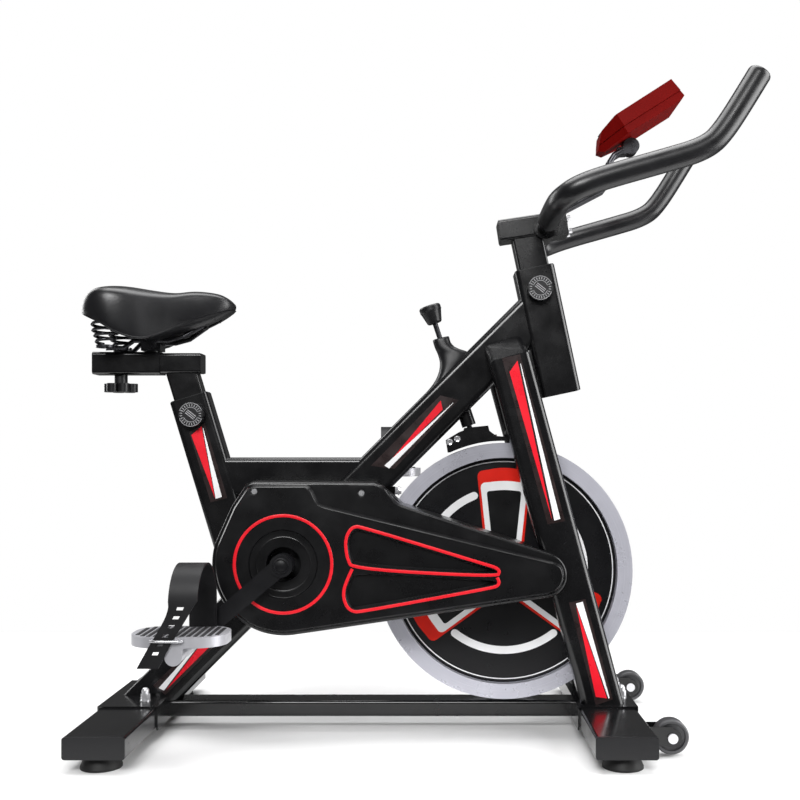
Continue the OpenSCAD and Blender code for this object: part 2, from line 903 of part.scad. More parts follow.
// The saddle's outline seen from above: two broad rear rounds and a narrow nose
module saddle_plan(inset) {
    d = saddle_nose - saddle_rear;
    a = atan2(d[1], d[0]) + acos((saddle_rear_r - saddle_nose_r) / norm(d));
    left = saddle_rear;
    right = [saddle_rear[0], -saddle_rear[1]];
    polygon(concat(arc(left, saddle_rear_r - inset, a, 180, 16),
                   arc(right, saddle_rear_r - inset, 180, 360 - a, 16),
                   arc(saddle_nose, saddle_nose_r - inset, -a, a, 12)));
}

module saddle_cushion() {
    color(rubber_black) difference() {
        intersection() {
            translate([0, 0, 560]) linear_extrude(200) saddle_plan(0);
            plate(-120, 120) polygon([[-493, 637], [-486, 672], [-470, 682], [-425, 683.6],
                [-390, 678], [-360, 674], [-325, 675.7], [-300, 672], [-280, 664], [-272, 653],
                [-300, 640], [-345, 622], [-401, 596], [-455, 617]]);
        }
        translate([0, 0, 560]) linear_extrude(76) intersection() {
            saddle_plan(9);
            translate([-480, -100]) square([180, 200]);
        }
    }
}

// The moulded pan under the cushion
module saddle_base() {
    color(plastic_black) {
        translate([0, 0, 630]) linear_extrude(5.7) intersection() {
            saddle_plan(9.5);
            translate([-479.5, -100]) square([179, 200]);
        }
        both_sides() translate([spring_x, spring_y, 625]) cylinder(r = 16, h = 6);
        // the lug that takes the hinge pin
        difference() {
            plate(-8, 8) union() {
                translate(saddle_hinge) circle(6);
                translate(saddle_hinge - [6, 0]) square([12, 8]);
            }
            y_cyl(saddle_hinge, 3 + run_gap, -20, 20);
        }
    }
}

// ---------- handlebar ----------

stem_tilt = 8.6;
stem_end = [136.5, 767.5];
bar_centre = [207, 773];

// The inner post with the welded stem box on top
module handlebar_post() {
    color(frame_black) {
        difference() {
            lean(head_foot, -head_tilt) translate([0, 0, head_length - head_post_in])
                box_tube(head_post_size, head_post_in + 80, 4, tube_wall);
            lean(stem_end, 0) rotate([0, -stem_tilt, 0]) translate([-100, -100, -15])
                cube([300, 200, 200]);
            y_cyl(bar_centre, 19.3, -100, 100);
        }
        difference() {
            lean(stem_end, 90 - stem_tilt) box_tube([33, 44], 66, 4, tube_wall);
            y_cyl(bar_centre, 19.3, -100, 100);
        }
        // the rear end cap, sloped down at the back
        lean(stem_end, 90 - stem_tilt) translate([0, 0, -1]) box_bar([29, 40], 3, 3);
    }
}

module stem_clamp() {
    color(plastic_black) difference() {
        union() {
            y_cyl(bar_centre, 19, -24, 24);
            lean(bar_centre, 90 - stem_tilt) translate([-16, -22, 0]) cube([32, 44, 34]);
        }
        y_cyl(bar_centre, bar_r + 0.05, -60, 60);
    }
}

clamp_bolt_at = [[-10, -14], [-10, 14], [10, -14], [10, 14]];

module clamp_bolts() {
    color(chrome) lean(bar_centre, 90 - stem_tilt) for (p = clamp_bolt_at) {
        translate([p[0], p[1], 34]) {
            cylinder(r = 4.6, h = 1.5);
            translate([0, 0, 1.5]) cylinder(r = 3.9, h = 5, $fn = 6);
        }
    }
}

bar_tip = [478.4, bar_side, 942.4];
bar_path = [[207, 0, 773], [207, 170, 773], [214, 192, 777], [230, bar_side, 786],
            [264, bar_side, 799], [348, bar_side, 822.5], [402, bar_side, 838.5],
            [428, bar_side, 860], bar_tip];

module handlebar() {
    color(steel) both_sides() difference() {
        rod_path(bar_path, bar_r);
        rod_path(bar_path, bar_r - 1.8);
        translate([0, -40, 700]) cube([400, 40, 200]);
    }
}

grip_end = bar_tip + 2 * (bar_tip - bar_path[7]) / norm(bar_tip - bar_path[7]);
grip_path = concat([[207, 62, 773]], [for (i = [1 : len(bar_path) - 2]) bar_path[i]], [grip_end]);

module handlebar_grips() {
    color(rubber_black) both_sides() difference() {
        rod_path(grip_path, grip_r);
        rod_path(bar_path, bar_r + 0.1);
    }
}

monitor_pivot = [341, 901];

// Two bent rods from the stem clamp, and the head that the monitor tilts on
module monitor_arm() {
    color(frame_black) {
        both_sides() rod_path([[231, 9, 799], [296, 9, 833], [306, 9, 846], [309, 9, 861],
                               [308, 9, 876], [315, 9, 887], [328, 9, 894.5]], 4.5);
        difference() {
            plate(-11, 11) union() {
                translate(monitor_pivot) circle(12.5);
                polygon([monitor_pivot + [-22, -13], monitor_pivot + [-22, -3],
                         monitor_pivot + [-10, -1], monitor_pivot + [-6, -12]]);
            }
            y_cyl(monitor_pivot, 13.4, -6, 6);
        }
        y_cyl(monitor_pivot, 3, -10.5, 10.5);
        lean(bar_centre, 90 - stem_tilt) translate([-23, -14, 18]) cube([6.8, 28, 15]);
    }
}

monitor_centre = [345, 932];
monitor_tilt = 32.4;

module monitor_place() {
    lean(monitor_centre, -monitor_tilt) children();
}

// The monitor's side outline: u runs up its face, v out of it
monitor_profile = [[-69, -4], [-51, 17.5], [-27.4, 23.4], [74, 23.9], [78.5, -7.4],
                   [72, -10.5], [-62, -10.5]];

// Its outline seen square to the face, drawn in at the lower end
function monitor_plan(half) = [[90, -half], [-24, -half], [-75, 36 - half],
                               [-75, half - 36], [-24, half], [90, half]];

// One half of the shell: the rear one is a step narrower, which leaves the parting edge
module monitor_solid(half, low, high) {
    monitor_place() intersection() {
        difference() {
            plate(-half, half) polygon(monitor_profile);
            intersection() {
                plate(2.5 - half, half - 2.5) polygon(monitor_inside);
                translate([0, 0, -40]) linear_extrude(80) polygon(monitor_plan(half - 2.5));
            }
        }
        translate([0, 0, -60]) linear_extrude(120) polygon(monitor_plan(half));
        translate([-100, -100, low]) cube([200, 200, high - low]);
    }
}

monitor_inside = [[-65.8, -3.9], [-50, 14.9], [-27, 20.8], [71.8, 21.3], [75.7, -6],
                  [71.5, -8], [-61, -8]];

parting = 2.5;

module monitor_rear_shell() {
    color(monitor_red) {
        monitor_solid(monitor_w / 2 - 2, -60, parting);
        // the ear that the arm's head holds, with its hinge pin
        difference() {
            plate(-5.6, 5.6) union() {
                translate(monitor_pivot) circle(8);
                polygon([monitor_pivot + [-6.8, -4.3], monitor_pivot + [6.8, 4.3],
                         monitor_pivot + [-0.6, 17.7], monitor_pivot + [-15.8, 8.1]]);
            }
            monitor_place() plate(-20, 20) polygon(monitor_inside);
            y_cyl(monitor_pivot, 3.05, -20, 20);
        }
    }
}

screen = [-20, 50];
button_u = -44;

module monitor_front_shell() {
    color(monitor_red) difference() {
        monitor_solid(monitor_w / 2, parting, 60);
        monitor_place() translate([screen[0], -30, 15]) cube([screen[1] - screen[0], 60, 30]);
        button_place() translate([0, 0, -20]) cylinder(r = 9.2, h = 40);
    }
}

module monitor_lens() {
    w = screen[1] - screen[0] - 0.4;
    color([0.1, 0.1, 0.12]) monitor_place()
        translate([screen[0] + 0.2, -29.8, 21.2]) cube([w, 59.6, 2]);
}

// The button's place on the monitor's sloping lower face
module button_place() {
    monitor_place() translate([button_u, 0, 18.1]) rotate([0, -18, 0]) children();
}

module mode_button() {
    color(plastic_black) button_place() {
        translate([0, 0, -4]) cylinder(r = 9, h = 6.4);
        translate([0, 0, -13]) cylinder(r = 4, h = 9.5);
    }
}

// ---------- transport wheels ----------

module transport_wheel(side) {
    y = side * wheel_y;
    translate([wheel_centre[0], y, wheel_centre[1]]) rotate([90, 0, 0]) rotate_extrude()
        polygon([[4.1, -11], [9, -11], [9, -6], [19, -6], [19.5, -10], [22.6, -10],
                 [wheel_r, -8], [wheel_r, 8], [22.6, 10], [19.5, 10], [19, 6], [9, 6],
                 [9, 11], [4.1, 11]]);
}

module transport_wheel_right() {
    color(rubber_black) transport_wheel(-1);
}

module transport_wheel_left() {
    color(rubber_black) transport_wheel(1);
}

main_beam();
seat_tube();
top_tube();
head_tube();
bottom_tube();
fork_leg_right();
fork_leg_left();
bottom_bracket_shell();
shaft_bearings();
rear_stabilizer();
front_stabilizer();
base_brackets();
stabilizer_end_caps();
base_fasteners();
rubber_feet();
tube_bushings();
belt_guard_outer();
belt_guard_inner();
guard_fixings();
drive_belt();
brake_boss();
brake_pivot_pin();
brake_rod();
brake_knob();
brake_lever();
brake_pad();
flywheel();
flywheel_axle();
flywheel_pulley();
crank_spindle();
drive_pulley();
crank_right();
crank_left();
pedal_axles();
pedal_right();
pedal_strap_right();
pedal_left();
pedal_strap_left();
seat_post();
seat_carriage();
seat_height_knob();
seat_slide_knob();
saddle_clamp();
saddle_rails();
saddle_springs();
saddle_base();
saddle_cushion();
handlebar_post();
handlebar_height_knob();
stem_clamp();
clamp_bolts();
handlebar();
handlebar_grips();
monitor_arm();
monitor_rear_shell();
monitor_front_shell();
monitor_lens();
mode_button();
transport_wheel_right();
transport_wheel_left();
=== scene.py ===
"""Indoor spin bike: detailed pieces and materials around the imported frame."""

import json
import math

import bmesh
import bpy
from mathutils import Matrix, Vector


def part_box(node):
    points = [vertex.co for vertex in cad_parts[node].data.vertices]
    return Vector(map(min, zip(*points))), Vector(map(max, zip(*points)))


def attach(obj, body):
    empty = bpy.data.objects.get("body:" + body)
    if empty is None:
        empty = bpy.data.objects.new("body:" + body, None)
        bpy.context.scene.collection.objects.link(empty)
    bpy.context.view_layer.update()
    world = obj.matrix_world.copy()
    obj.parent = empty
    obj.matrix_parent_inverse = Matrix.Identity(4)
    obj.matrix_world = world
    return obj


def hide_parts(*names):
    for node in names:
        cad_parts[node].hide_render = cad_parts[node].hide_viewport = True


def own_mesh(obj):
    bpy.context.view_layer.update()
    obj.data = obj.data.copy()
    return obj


MM = 0.001
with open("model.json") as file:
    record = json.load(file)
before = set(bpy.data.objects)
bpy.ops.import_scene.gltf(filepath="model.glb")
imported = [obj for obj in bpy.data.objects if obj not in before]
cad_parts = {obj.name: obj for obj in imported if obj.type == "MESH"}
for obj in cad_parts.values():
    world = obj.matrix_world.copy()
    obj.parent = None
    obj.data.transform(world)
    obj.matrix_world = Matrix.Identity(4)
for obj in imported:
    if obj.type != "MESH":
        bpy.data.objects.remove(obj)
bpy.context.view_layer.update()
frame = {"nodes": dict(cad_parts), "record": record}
nodes = frame["nodes"]
behaviour = frame["record"]["behaviour"]
joints = {j["name"]: j for j in behaviour["joints"]}
slot_of = {s["node"]: s["material_slot"] for s in frame["record"]["subparts"]}

hub = Vector(joints["flywheel_spin"]["pos_m"])
crank = Vector(joints["crank_spin"]["pos_m"])


# ---------- materials ----------

def noise(tree, where, scale, detail=2.0, rough=0.5):
    node = tree.nodes.new("ShaderNodeTexNoise")
    node.inputs["Scale"].default_value = scale
    node.inputs["Detail"].default_value = detail
    node.inputs["Roughness"].default_value = rough
    tree.links.new(where, node.inputs["Vector"])
    return node.outputs["Fac"]


def ramp(tree, value, low, high, lo=0.32, hi=0.68):
    node = tree.nodes.new("ShaderNodeValToRGB")
    first, last = node.color_ramp.elements
    first.position, last.position = lo, hi
    first.color, last.color = (*low, 1), (*high, 1)
    tree.links.new(value, node.inputs["Fac"])
    return node.outputs["Color"]


def span(tree, value, low, high, lo=0.3, hi=0.7):
    node = tree.nodes.new("ShaderNodeMapRange")
    for name, number in (("From Min", lo), ("From Max", hi), ("To Min", low), ("To Max", high)):
        node.inputs[name].default_value = number
    tree.links.new(value, node.inputs["Value"])
    return node.outputs["Result"]


def math_node(tree, operation, a, b=None):
    node = tree.nodes.new("ShaderNodeMath")
    node.operation = operation
    for socket, value in zip(node.inputs, (a, b)):
        if value is None:
            continue
        if isinstance(value, (int, float)):
            socket.default_value = value
        else:
            tree.links.new(value, socket)
    return node.outputs["Value"]


def bump(tree, bsdf, height, strength, depth):
    node = tree.nodes.new("ShaderNodeBump")
    node.inputs["Strength"].default_value = strength
    node.inputs["Distance"].default_value = depth
    tree.links.new(height, node.inputs["Height"])
    tree.links.new(node.outputs["Normal"], bsdf.inputs["Normal"])


def shader(name, color, rough, metallic=0.0, coat=0.0, spread=0.15, cloud=22.0, grain=900.0,
           strength=0.12, depth=0.0002, rough_spread=0.06, specular=0.5):
    """A finish with slow colour and gloss variation and a fine surface grain."""
    material = bpy.data.materials.new(name)
    material.use_nodes = True
    tree = material.node_tree
    bsdf = tree.nodes["Principled BSDF"]
    bsdf.inputs["Metallic"].default_value = metallic
    bsdf.inputs["Coat Weight"].default_value = coat
    bsdf.inputs["Coat Roughness"].default_value = 0.06
    bsdf.inputs["Specular IOR Level"].default_value = specular
    where = tree.nodes.new("ShaderNodeTexCoord").outputs["Object"]
    clouds = noise(tree, where, cloud, 4.0, 0.6)
    low = [c * (1 - spread) for c in color]
    high = [min(1.0, c * (1 + spread)) for c in color]
    tree.links.new(ramp(tree, clouds, low, high), bsdf.inputs["Base Color"])
    tree.links.new(span(tree, clouds, rough - rough_spread, rough + rough_spread),
                   bsdf.inputs["Roughness"])
    bump(tree, bsdf, noise(tree, where, grain, 3.0), strength, depth)
    return material, tree, bsdf, where


def plain(*args, **options):
    return shader(*args, **options)[0]


def leather_material():
    """Smooth black synthetic leather with a pebbled grain."""
    material, tree, bsdf, where = shader("saddle_cover", (0.006, 0.006, 0.007), 0.34,
                                         spread=0.2, cloud=14.0)
    cells = tree.nodes.new("ShaderNodeTexVoronoi")
    cells.feature = "DISTANCE_TO_EDGE"
    cells.inputs["Scale"].default_value = 620.0
    tree.links.new(where, cells.inputs["Vector"])
    mixed = math_node(tree, "MULTIPLY_ADD", span(tree, cells.outputs["Distance"], 0.0, 1.0, 0.0, 0.25), 0.7)
    tree.links.new(noise(tree, where, 1500.0, 2.0), mixed.node.inputs[2])
    bump(tree, bsdf, mixed, 0.16, 0.0003)
    return material


def foam_material():
    """Closed-cell foam: matte, with fine pores."""
    material, tree, bsdf, where = shader("grip_foam", (0.006, 0.006, 0.007), 0.34, spread=0.2,
                                         cloud=30.0, rough_spread=0.05)
    cells = tree.nodes.new("ShaderNodeTexVoronoi")
    cells.inputs["Scale"].default_value = 900.0
    tree.links.new(where, cells.inputs["Vector"])
    bump(tree, bsdf, cells.outputs["Distance"], 0.07, 0.0003)
    return material


def turned_steel(name, centre, radius, paint):
    """Lathe-turned steel outside radius, and black paint inside it."""
    material, tree, bsdf, where = shader(name, (0.5, 0.5, 0.56), 0.3, specular=0.3)
    parts = tree.nodes.new("ShaderNodeSeparateXYZ")
    tree.links.new(where, parts.inputs[0])
    dx = math_node(tree, "SUBTRACT", parts.outputs["X"], centre.x)
    dz = math_node(tree, "SUBTRACT", parts.outputs["Z"], centre.z)
    r = math_node(tree, "SQRT", math_node(tree, "ADD", math_node(tree, "MULTIPLY", dx, dx),
                                          math_node(tree, "MULTIPLY", dz, dz)))
    rings = tree.nodes.new("ShaderNodeCombineXYZ")
    tree.links.new(r, rings.inputs["X"])
    tree.links.new(parts.outputs["Y"], rings.inputs["Y"])
    marks = noise(tree, rings.outputs["Vector"], 1100.0, 1.0)
    bright = ramp(tree, marks, (0.44, 0.44, 0.5), (0.58, 0.58, 0.64))
    outside = math_node(tree, "GREATER_THAN", r, radius)
    mix = tree.nodes.new("ShaderNodeMix")
    mix.data_type = "RGBA"
    tree.links.new(outside, mix.inputs["Factor"])
    mix.inputs[6].default_value = (*paint, 1)
    tree.links.new(bright, mix.inputs[7])
    tree.links.new(mix.outputs[2], bsdf.inputs["Base Color"])
    tree.links.new(math_node(tree, "MULTIPLY", outside, 0.45), bsdf.inputs["Metallic"])
    bump(tree, bsdf, marks, 0.03, 0.0001)
    return material


def part_painted(name, base, low, high):
    """The base finish, with black paint between two X values."""
    material = materials_like(name, base)
    tree = material.node_tree
    bsdf = tree.nodes["Principled BSDF"]
    parts = tree.nodes.new("ShaderNodeSeparateXYZ")
    tree.links.new(tree.nodes.new("ShaderNodeTexCoord").outputs["Object"], parts.inputs[0])
    inside = math_node(tree, "MULTIPLY", math_node(tree, "GREATER_THAN", parts.outputs["X"], low),
                       math_node(tree, "LESS_THAN", parts.outputs["X"], high))
    mix = tree.nodes.new("ShaderNodeMix")
    mix.data_type = "RGBA"
    tree.links.new(inside, mix.inputs["Factor"])
    tree.links.new(bsdf.inputs["Base Color"].links[0].from_socket, mix.inputs[6])
    mix.inputs[7].default_value = (0.004, 0.004, 0.004, 1)
    tree.links.new(mix.outputs[2], bsdf.inputs["Base Color"])
    return material


def materials_like(name, base):
    material = base.copy()
    material.name = name
    return material


def decal_panel():
    """The smoked film that the red and white graphics are printed on."""
    return plain("decal_film", (0.016, 0.008, 0.008), 0.3, coat=0.15, spread=0.3, cloud=60.0)


materials = {
    "frame_paint": plain("frame_paint", (0.003, 0.003, 0.0035), 0.24, coat=0.15, strength=0.05, specular=0.4),
    "base_paint": plain("base_paint", (0.004, 0.004, 0.0045), 0.22, coat=0.15, strength=0.04, specular=0.4),
    "crank_paint": plain("crank_paint", (0.004, 0.004, 0.005), 0.36, strength=0.1, specular=0.35),
    "bright_steel": plain("bright_steel", (0.5, 0.5, 0.52), 0.26, metallic=0.8, cloud=90.0),
    "dark_steel": plain("dark_steel", (0.05, 0.05, 0.055), 0.3, metallic=0.8, cloud=80.0),
    "chrome": plain("chrome", (0.68, 0.68, 0.7), 0.14, metallic=0.65, spread=0.05, rough_spread=0.04,
                    strength=0.03),
    "rubber": plain("rubber", (0.008, 0.008, 0.008), 0.6, specular=0.3, grain=1400.0, strength=0.25),
    "strap": plain("strap", (0.007, 0.007, 0.008), 0.5, specular=0.3, grain=1100.0, strength=0.2),
    "black_plastic": plain("black_plastic", (0.006, 0.006, 0.007), 0.36, specular=0.35, grain=1600.0,
                           strength=0.18),
    "guard_plastic": plain("guard_plastic", (0.0035, 0.0035, 0.004), 0.3, coat=0.1, specular=0.35,
                           grain=1500.0, strength=0.06),
    "knob_plastic": plain("knob_plastic", (0.008, 0.008, 0.009), 0.38, specular=0.35,
                          grain=1500.0, strength=0.15),
    "felt": plain("felt", (0.12, 0.1, 0.085), 0.9, grain=1200.0, strength=0.6, depth=0.0006),
    "flywheel_steel": turned_steel("flywheel_steel", hub, 0.1738, (0.006, 0.006, 0.007)),
    "pedal_silver": plain("pedal_silver", (0.46, 0.46, 0.49), 0.36, metallic=0.4, spread=0.06),
    "saddle_cover": leather_material(),
    "grip_foam": foam_material(),
    "monitor_plastic": plain("monitor_plastic", (0.125, 0.0018, 0.0012), 0.4, spread=0.08, specular=0.06,
                             grain=1500.0, strength=0.1),
    "screen": plain("screen", (0.012, 0.014, 0.015), 0.08, coat=0.8, strength=0.01),
    "button_plastic": plain("button_plastic", (0.03, 0.03, 0.032), 0.4),
    "wheel_plastic": plain("wheel_plastic", (0.045, 0.045, 0.048), 0.4, strength=0.1),
}
hanger_finish = part_painted("hanger_finish", materials["chrome"], -0.0506, -0.0238)
red_line = plain("red_line", (0.72, 0.008, 0.018), 0.34, coat=0.2, spread=0.06)
red_print = plain("red_print", (0.75, 0.006, 0.02), 0.3, coat=0.4, spread=0.06)
white_print = plain("white_print", (0.86, 0.86, 0.87), 0.32, coat=0.4, spread=0.03)
orange_print = plain("orange_print", (0.66, 0.014, 0.006), 0.4, spread=0.1, specular=0.2)
film = decal_panel()
mark_print = plain("mark_print", (0.3, 0.3, 0.31), 0.4, spread=0.1)
tread = plain("tread", (0.02, 0.02, 0.022), 0.5, spread=0.15, grain=1200.0, strength=0.2)

for name, node in nodes.items():
    node.data.materials.clear()
    node.data.materials.append(materials[slot_of[name]])
nodes["guard_fixings"].data.materials[0] = hanger_finish


# ---------- mesh helpers ----------

def piece(name, bm, material, body, sharp=38, smooth=0, replaces=()):
    """Makes a finished object from a bmesh and rides it on its body."""
    bmesh.ops.remove_doubles(bm, verts=bm.verts, dist=1e-6)
    bmesh.ops.recalc_face_normals(bm, faces=bm.faces)
    mesh = bpy.data.meshes.new(name)
    bm.to_mesh(mesh)
    bm.free()
    mesh.shade_smooth()
    mesh.set_sharp_from_angle(angle=math.radians(sharp))
    mesh.materials.append(material)
    obj = bpy.data.objects.new(name, mesh)
    bpy.context.scene.collection.objects.link(obj)
    if smooth:
        sub = obj.modifiers.new("smooth", "SUBSURF")
        sub.levels = sub.render_levels = smooth
    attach(obj, body)
    if replaces:
        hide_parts(*replaces)
    return obj


def chaikin(points, rounds=3):
    """Rounds a polyline's corners, keeping its two ends."""
    for _ in range(rounds):
        cut = [points[0]]
        for a, b in zip(points, points[1:]):
            cut += [a.lerp(b, 0.25), a.lerp(b, 0.75)]
        points = cut[:1] + cut[2:-1] + [points[-1]] if len(points) > 2 else points
    return points


def tube(bm, points, radius, sides=16, closed=False):
    """A round tube along points; radius is a number or one number a point."""
    n = len(points)
    radii = radius if isinstance(radius, (list, tuple)) else [radius] * n
    rings = []
    last = None
    for i, p in enumerate(points):
        ahead = points[(i + 1) % n] if closed or i < n - 1 else p
        behind = points[i - 1] if closed or i > 0 else p
        along = (ahead - behind).normalized()
        if last is None:
            side = along.orthogonal().normalized()
        else:
            side = (last - along * last.dot(along)).normalized()
        last = side
        up = along.cross(side)
        rings.append([bm.verts.new(p + (side * math.cos(a) + up * math.sin(a)) * radii[i])
                      for a in (math.tau * k / sides for k in range(sides))])
    pairs = list(zip(rings, rings[1:] + (rings[:1] if closed else [])))
    for a, b in pairs[:n if closed else n - 1]:
        bridge(bm, a, b)
    if not closed:
        bm.faces.new(rings[0])
        bm.faces.new(rings[-1])
    return rings


def bridge(bm, a, b):
    n = len(a)
    for k in range(n):
        bm.faces.new((a[k], a[(k + 1) % n], b[(k + 1) % n], b[k]))


def offset(points, distance):
    """Moves a closed outline's points outwards (anticlockwise outlines)."""
    out = []
    n = len(points)
    for i, p in enumerate(points):
        before = (p - points[i - 1])
        after = (points[(i + 1) % n] - p)
        before = before.normalized() if before.length > 1e-9 else after.normalized()
        after = after.normalized() if after.length > 1e-9 else before
        na, nb = Vector((before.y, -before.x)), Vector((after.y, -after.x))
        mid = (na + nb)
        mid = mid.normalized() if mid.length > 1e-6 else na
        out.append(p + mid * (distance / max(0.5, mid.dot(na))))
    return out


def resample(points, step, closed=True):
    """Points at even steps along an outline, keeping its corners."""
    out = []
    ends = points[1:] + points[:1] if closed else points[1:]
    for a, b in zip(points, ends):
        count = max(1, round((b - a).length / step))
        out += [a.lerp(b, i / count) for i in range(count)]
    return out if closed else out + [points[-1]]


def arc(centre, radius, start, end, count):
    """Points on an arc in the bike's own plane, angles in degrees."""
    return [Vector((centre[0] + radius * math.cos(math.radians(start + (end - start) * i / count)),
                    centre[1] + radius * math.sin(math.radians(start + (end - start) * i / count))))
            for i in range(count + 1)]


def ring_at(bm, outline, y):
    return [bm.verts.new((p.x, y, p.y)) for p in outline]


def fill(bm, rings):
    """Fills the flat area between closed rings of vertices."""
    edges = []
    for r in rings:
        for a, b in zip(r, r[1:] + r[:1]):
            edges.append(bm.edges.get((a, b)) or bm.edges.new((a, b)))
    bmesh.ops.triangle_fill(bm, use_beauty=True, use_dissolve=False, edges=edges)


def plate(bm, outline, y, thick, bevel=0.0):
    """A thin closed plate in the bike's own plane, its face at y + thick."""
    back = ring_at(bm, outline, y)
    if bevel:
        edge = ring_at(bm, outline, y + thick - math.copysign(bevel, thick))
        front = ring_at(bm, offset(outline, -bevel), y + thick)
        bridge(bm, back, edge)
        bridge(bm, edge, front)
    else:
        front = ring_at(bm, outline, y + thick)
        bridge(bm, back, front)
    fill(bm, [back])
    fill(bm, [front])


def lathe(bm, profile, centre, axis, sides=48):
    """Turns a profile of (distance along axis, radius) round an axis."""
    axis = Vector(axis).normalized()
    side = axis.orthogonal().normalized()
    up = axis.cross(side)
    rings = []
    for along, radius in profile:
        if radius < 1e-7:
            rings.append([bm.verts.new(centre + axis * along)])
        else:
            at = centre + axis * along
            rings.append([bm.verts.new(at + (side * math.cos(a) + up * math.sin(a)) * radius)
                          for a in (math.tau * k / sides for k in range(sides))])
    for a, b in zip(rings, rings[1:]):
        if len(a) == 1 and len(b) == 1:
            continue
        if len(a) == 1:
            for k in range(len(b)):
                bm.faces.new((a[0], b[k], b[(k + 1) % len(b)]))
        elif len(b) == 1:
            for k in range(len(a)):
                bm.faces.new((b[0], a[(k + 1) % len(a)], a[k]))
        else:
            bridge(bm, a, b)
    return rings


def v2(x, z):
    return Vector((x * MM, z * MM))


# ---------- belt guard ----------

GUARD_FACE, GUARD_STEP, GUARD_SPLIT = -0.110, -0.103, -0.0775
DRUM_R, NOSE_R = 0.105, 0.033
nose = (0.197, 0.247)
drum = (crank.x, crank.z)


def guard_outline(inset):
    d = math.hypot(nose[0] - drum[0], nose[1] - drum[1])
    phi = math.degrees(math.atan2(nose[1] - drum[1], nose[0] - drum[0]))
    beta = math.degrees(math.acos((DRUM_R - NOSE_R) / d))
    crest = [v2(-12, 350), v2(-20, 355), v2(-30, 366), v2(-38, 377), v2(-52, 382), v2(-140, 383),
             v2(-229, 384), v2(-238, 381), v2(-260, 348)]
    raw = (crest + arc(drum, DRUM_R, 163, 360 + phi - beta, 60)
           + arc(nose, NOSE_R, phi - beta, 75, 30))
    return offset(resample(raw, 0.006), -inset)


def guard_face(inset):
    d = math.hypot(nose[0] - drum[0], nose[1] - drum[1])
    phi = math.degrees(math.atan2(nose[1] - drum[1], nose[0] - drum[0]))
    beta = math.degrees(math.acos((DRUM_R - NOSE_R) / d))
    rim = 0.005
    crest = [v2(213, 266.5), v2(-118, 347.5), v2(-127, 350), v2(-133, 354), v2(-137, 361),
             v2(-141, 371), v2(-145, 376.5), v2(-152, 379), v2(-229, 379), v2(-236, 376), v2(-256, 346)]
    raw = (crest + arc(drum, DRUM_R - rim, 163, 360 + phi - beta, 60)
           + arc(nose, NOSE_R - rim, phi - beta, 30, 20))
    return offset(resample(raw, 0.006), -inset)


def circle(centre, radius, count=64):
    return arc(centre, radius, 0, 360, count)[:-1]


def rounded(corners, rounds=3):
    """A closed outline with its corners cut round."""
    points = [v2(*c) for c in corners]
    for _ in range(rounds):
        points = [q for a, b in zip(points, points[1:] + points[:1])
                  for q in (a.lerp(b, 0.25), a.lerp(b, 0.75))]
    return points


UPPER = [(-83, 257.4), (-90, 272), (-93, 290), (-92, 303), (-87, 313.5), (-80, 319), (-70, 318.5),
         (117, 262), (126, 259), (131, 254), (127, 246)]
LOWER = [(-83, 257.4), (-90, 243), (-96, 226), (-95, 212), (-90, 201), (-82, 195.5), (-72, 195),
         (120, 230), (128, 233), (130.5, 238), (127, 245)]


def guard_outer():
    bm = bmesh.new()
    walls = [(0, GUARD_SPLIT), (0, GUARD_STEP + 0.0036), (0.0007, GUARD_STEP + 0.0016),
             (0.002, GUARD_STEP + 0.0004), (0.0038, GUARD_STEP)]
    rings = [ring_at(bm, guard_outline(i), y) for i, y in walls]
    for a, b in zip(rings, rings[1:]):
        bridge(bm, a, b)
    foot = ring_at(bm, guard_face(-0.0004), GUARD_STEP)
    shoulder = ring_at(bm, guard_face(0.0026), GUARD_FACE + 0.0008)
    top = ring_at(bm, guard_face(0.0038), GUARD_FACE)
    bridge(bm, foot, shoulder)
    bridge(bm, shoulder, top)
    low_screw, high_screw = (-0.0703, 0.367), (-0.2255, 0.370)
    holes_low, holes_high = [], []
    for at, level, holes in ((low_screw, GUARD_STEP, holes_low), (high_screw, GUARD_FACE, holes_high)):
        mouth = ring_at(bm, circle(at, 0.0056, 32), level)
        lip = ring_at(bm, circle(at, 0.0048, 32), level + 0.0008)
        floor = ring_at(bm, circle(at, 0.0047, 32), level + 0.0049)
        bridge(bm, mouth, lip)
        bridge(bm, lip, floor)
        fill(bm, [floor])
        holes.append(mouth)
    fill(bm, [rings[-1], foot] + holes_low)
    for corners in (UPPER, LOWER):
        line = rounded(corners, 3)
        if sum(a.x * b.y - b.x * a.y for a, b in zip(line, line[1:] + line[:1])) < 0:
            line.reverse()
        mouth = ring_at(bm, offset(line, -0.0032), GUARD_FACE)
        lip = ring_at(bm, offset(line, -0.0042), GUARD_FACE + 0.0012)
        slope = ring_at(bm, offset(line, -0.0066), GUARD_FACE + 0.0078)
        bridge(bm, mouth, lip)
        bridge(bm, lip, slope)
        fill(bm, [slope])
        holes_high.append(mouth)
    steps = [(0.0505, 0), (0.0492, 0.0022), (0.0485, 0.003), (0.0405, 0.003), (0.0398, 0.0022),
             (0.0388, 0.0022), (0.0380, 0.003), (0.0262, 0.003), (0.0245, 0.0042), (0.024, 0.02)]
    turned = [ring_at(bm, circle(drum, r), GUARD_FACE + y) for r, y in steps]
    for a, b in zip(turned, turned[1:]):
        bridge(bm, a, b)
    holes_high.append(turned[0])
    fill(bm, [top] + holes_high)
    back_hole = ring_at(bm, circle(drum, 0.024), GUARD_SPLIT)
    bridge(bm, turned[-1], back_hole)
    fill(bm, [rings[0], back_hole])
    obj = piece("guard_cover", bm, materials["guard_plastic"], "frame", sharp=50,
                replaces=("belt_guard_outer",))
    weighted = obj.modifiers.new("flat_faces", "WEIGHTED_NORMAL")
    weighted.keep_sharp = True


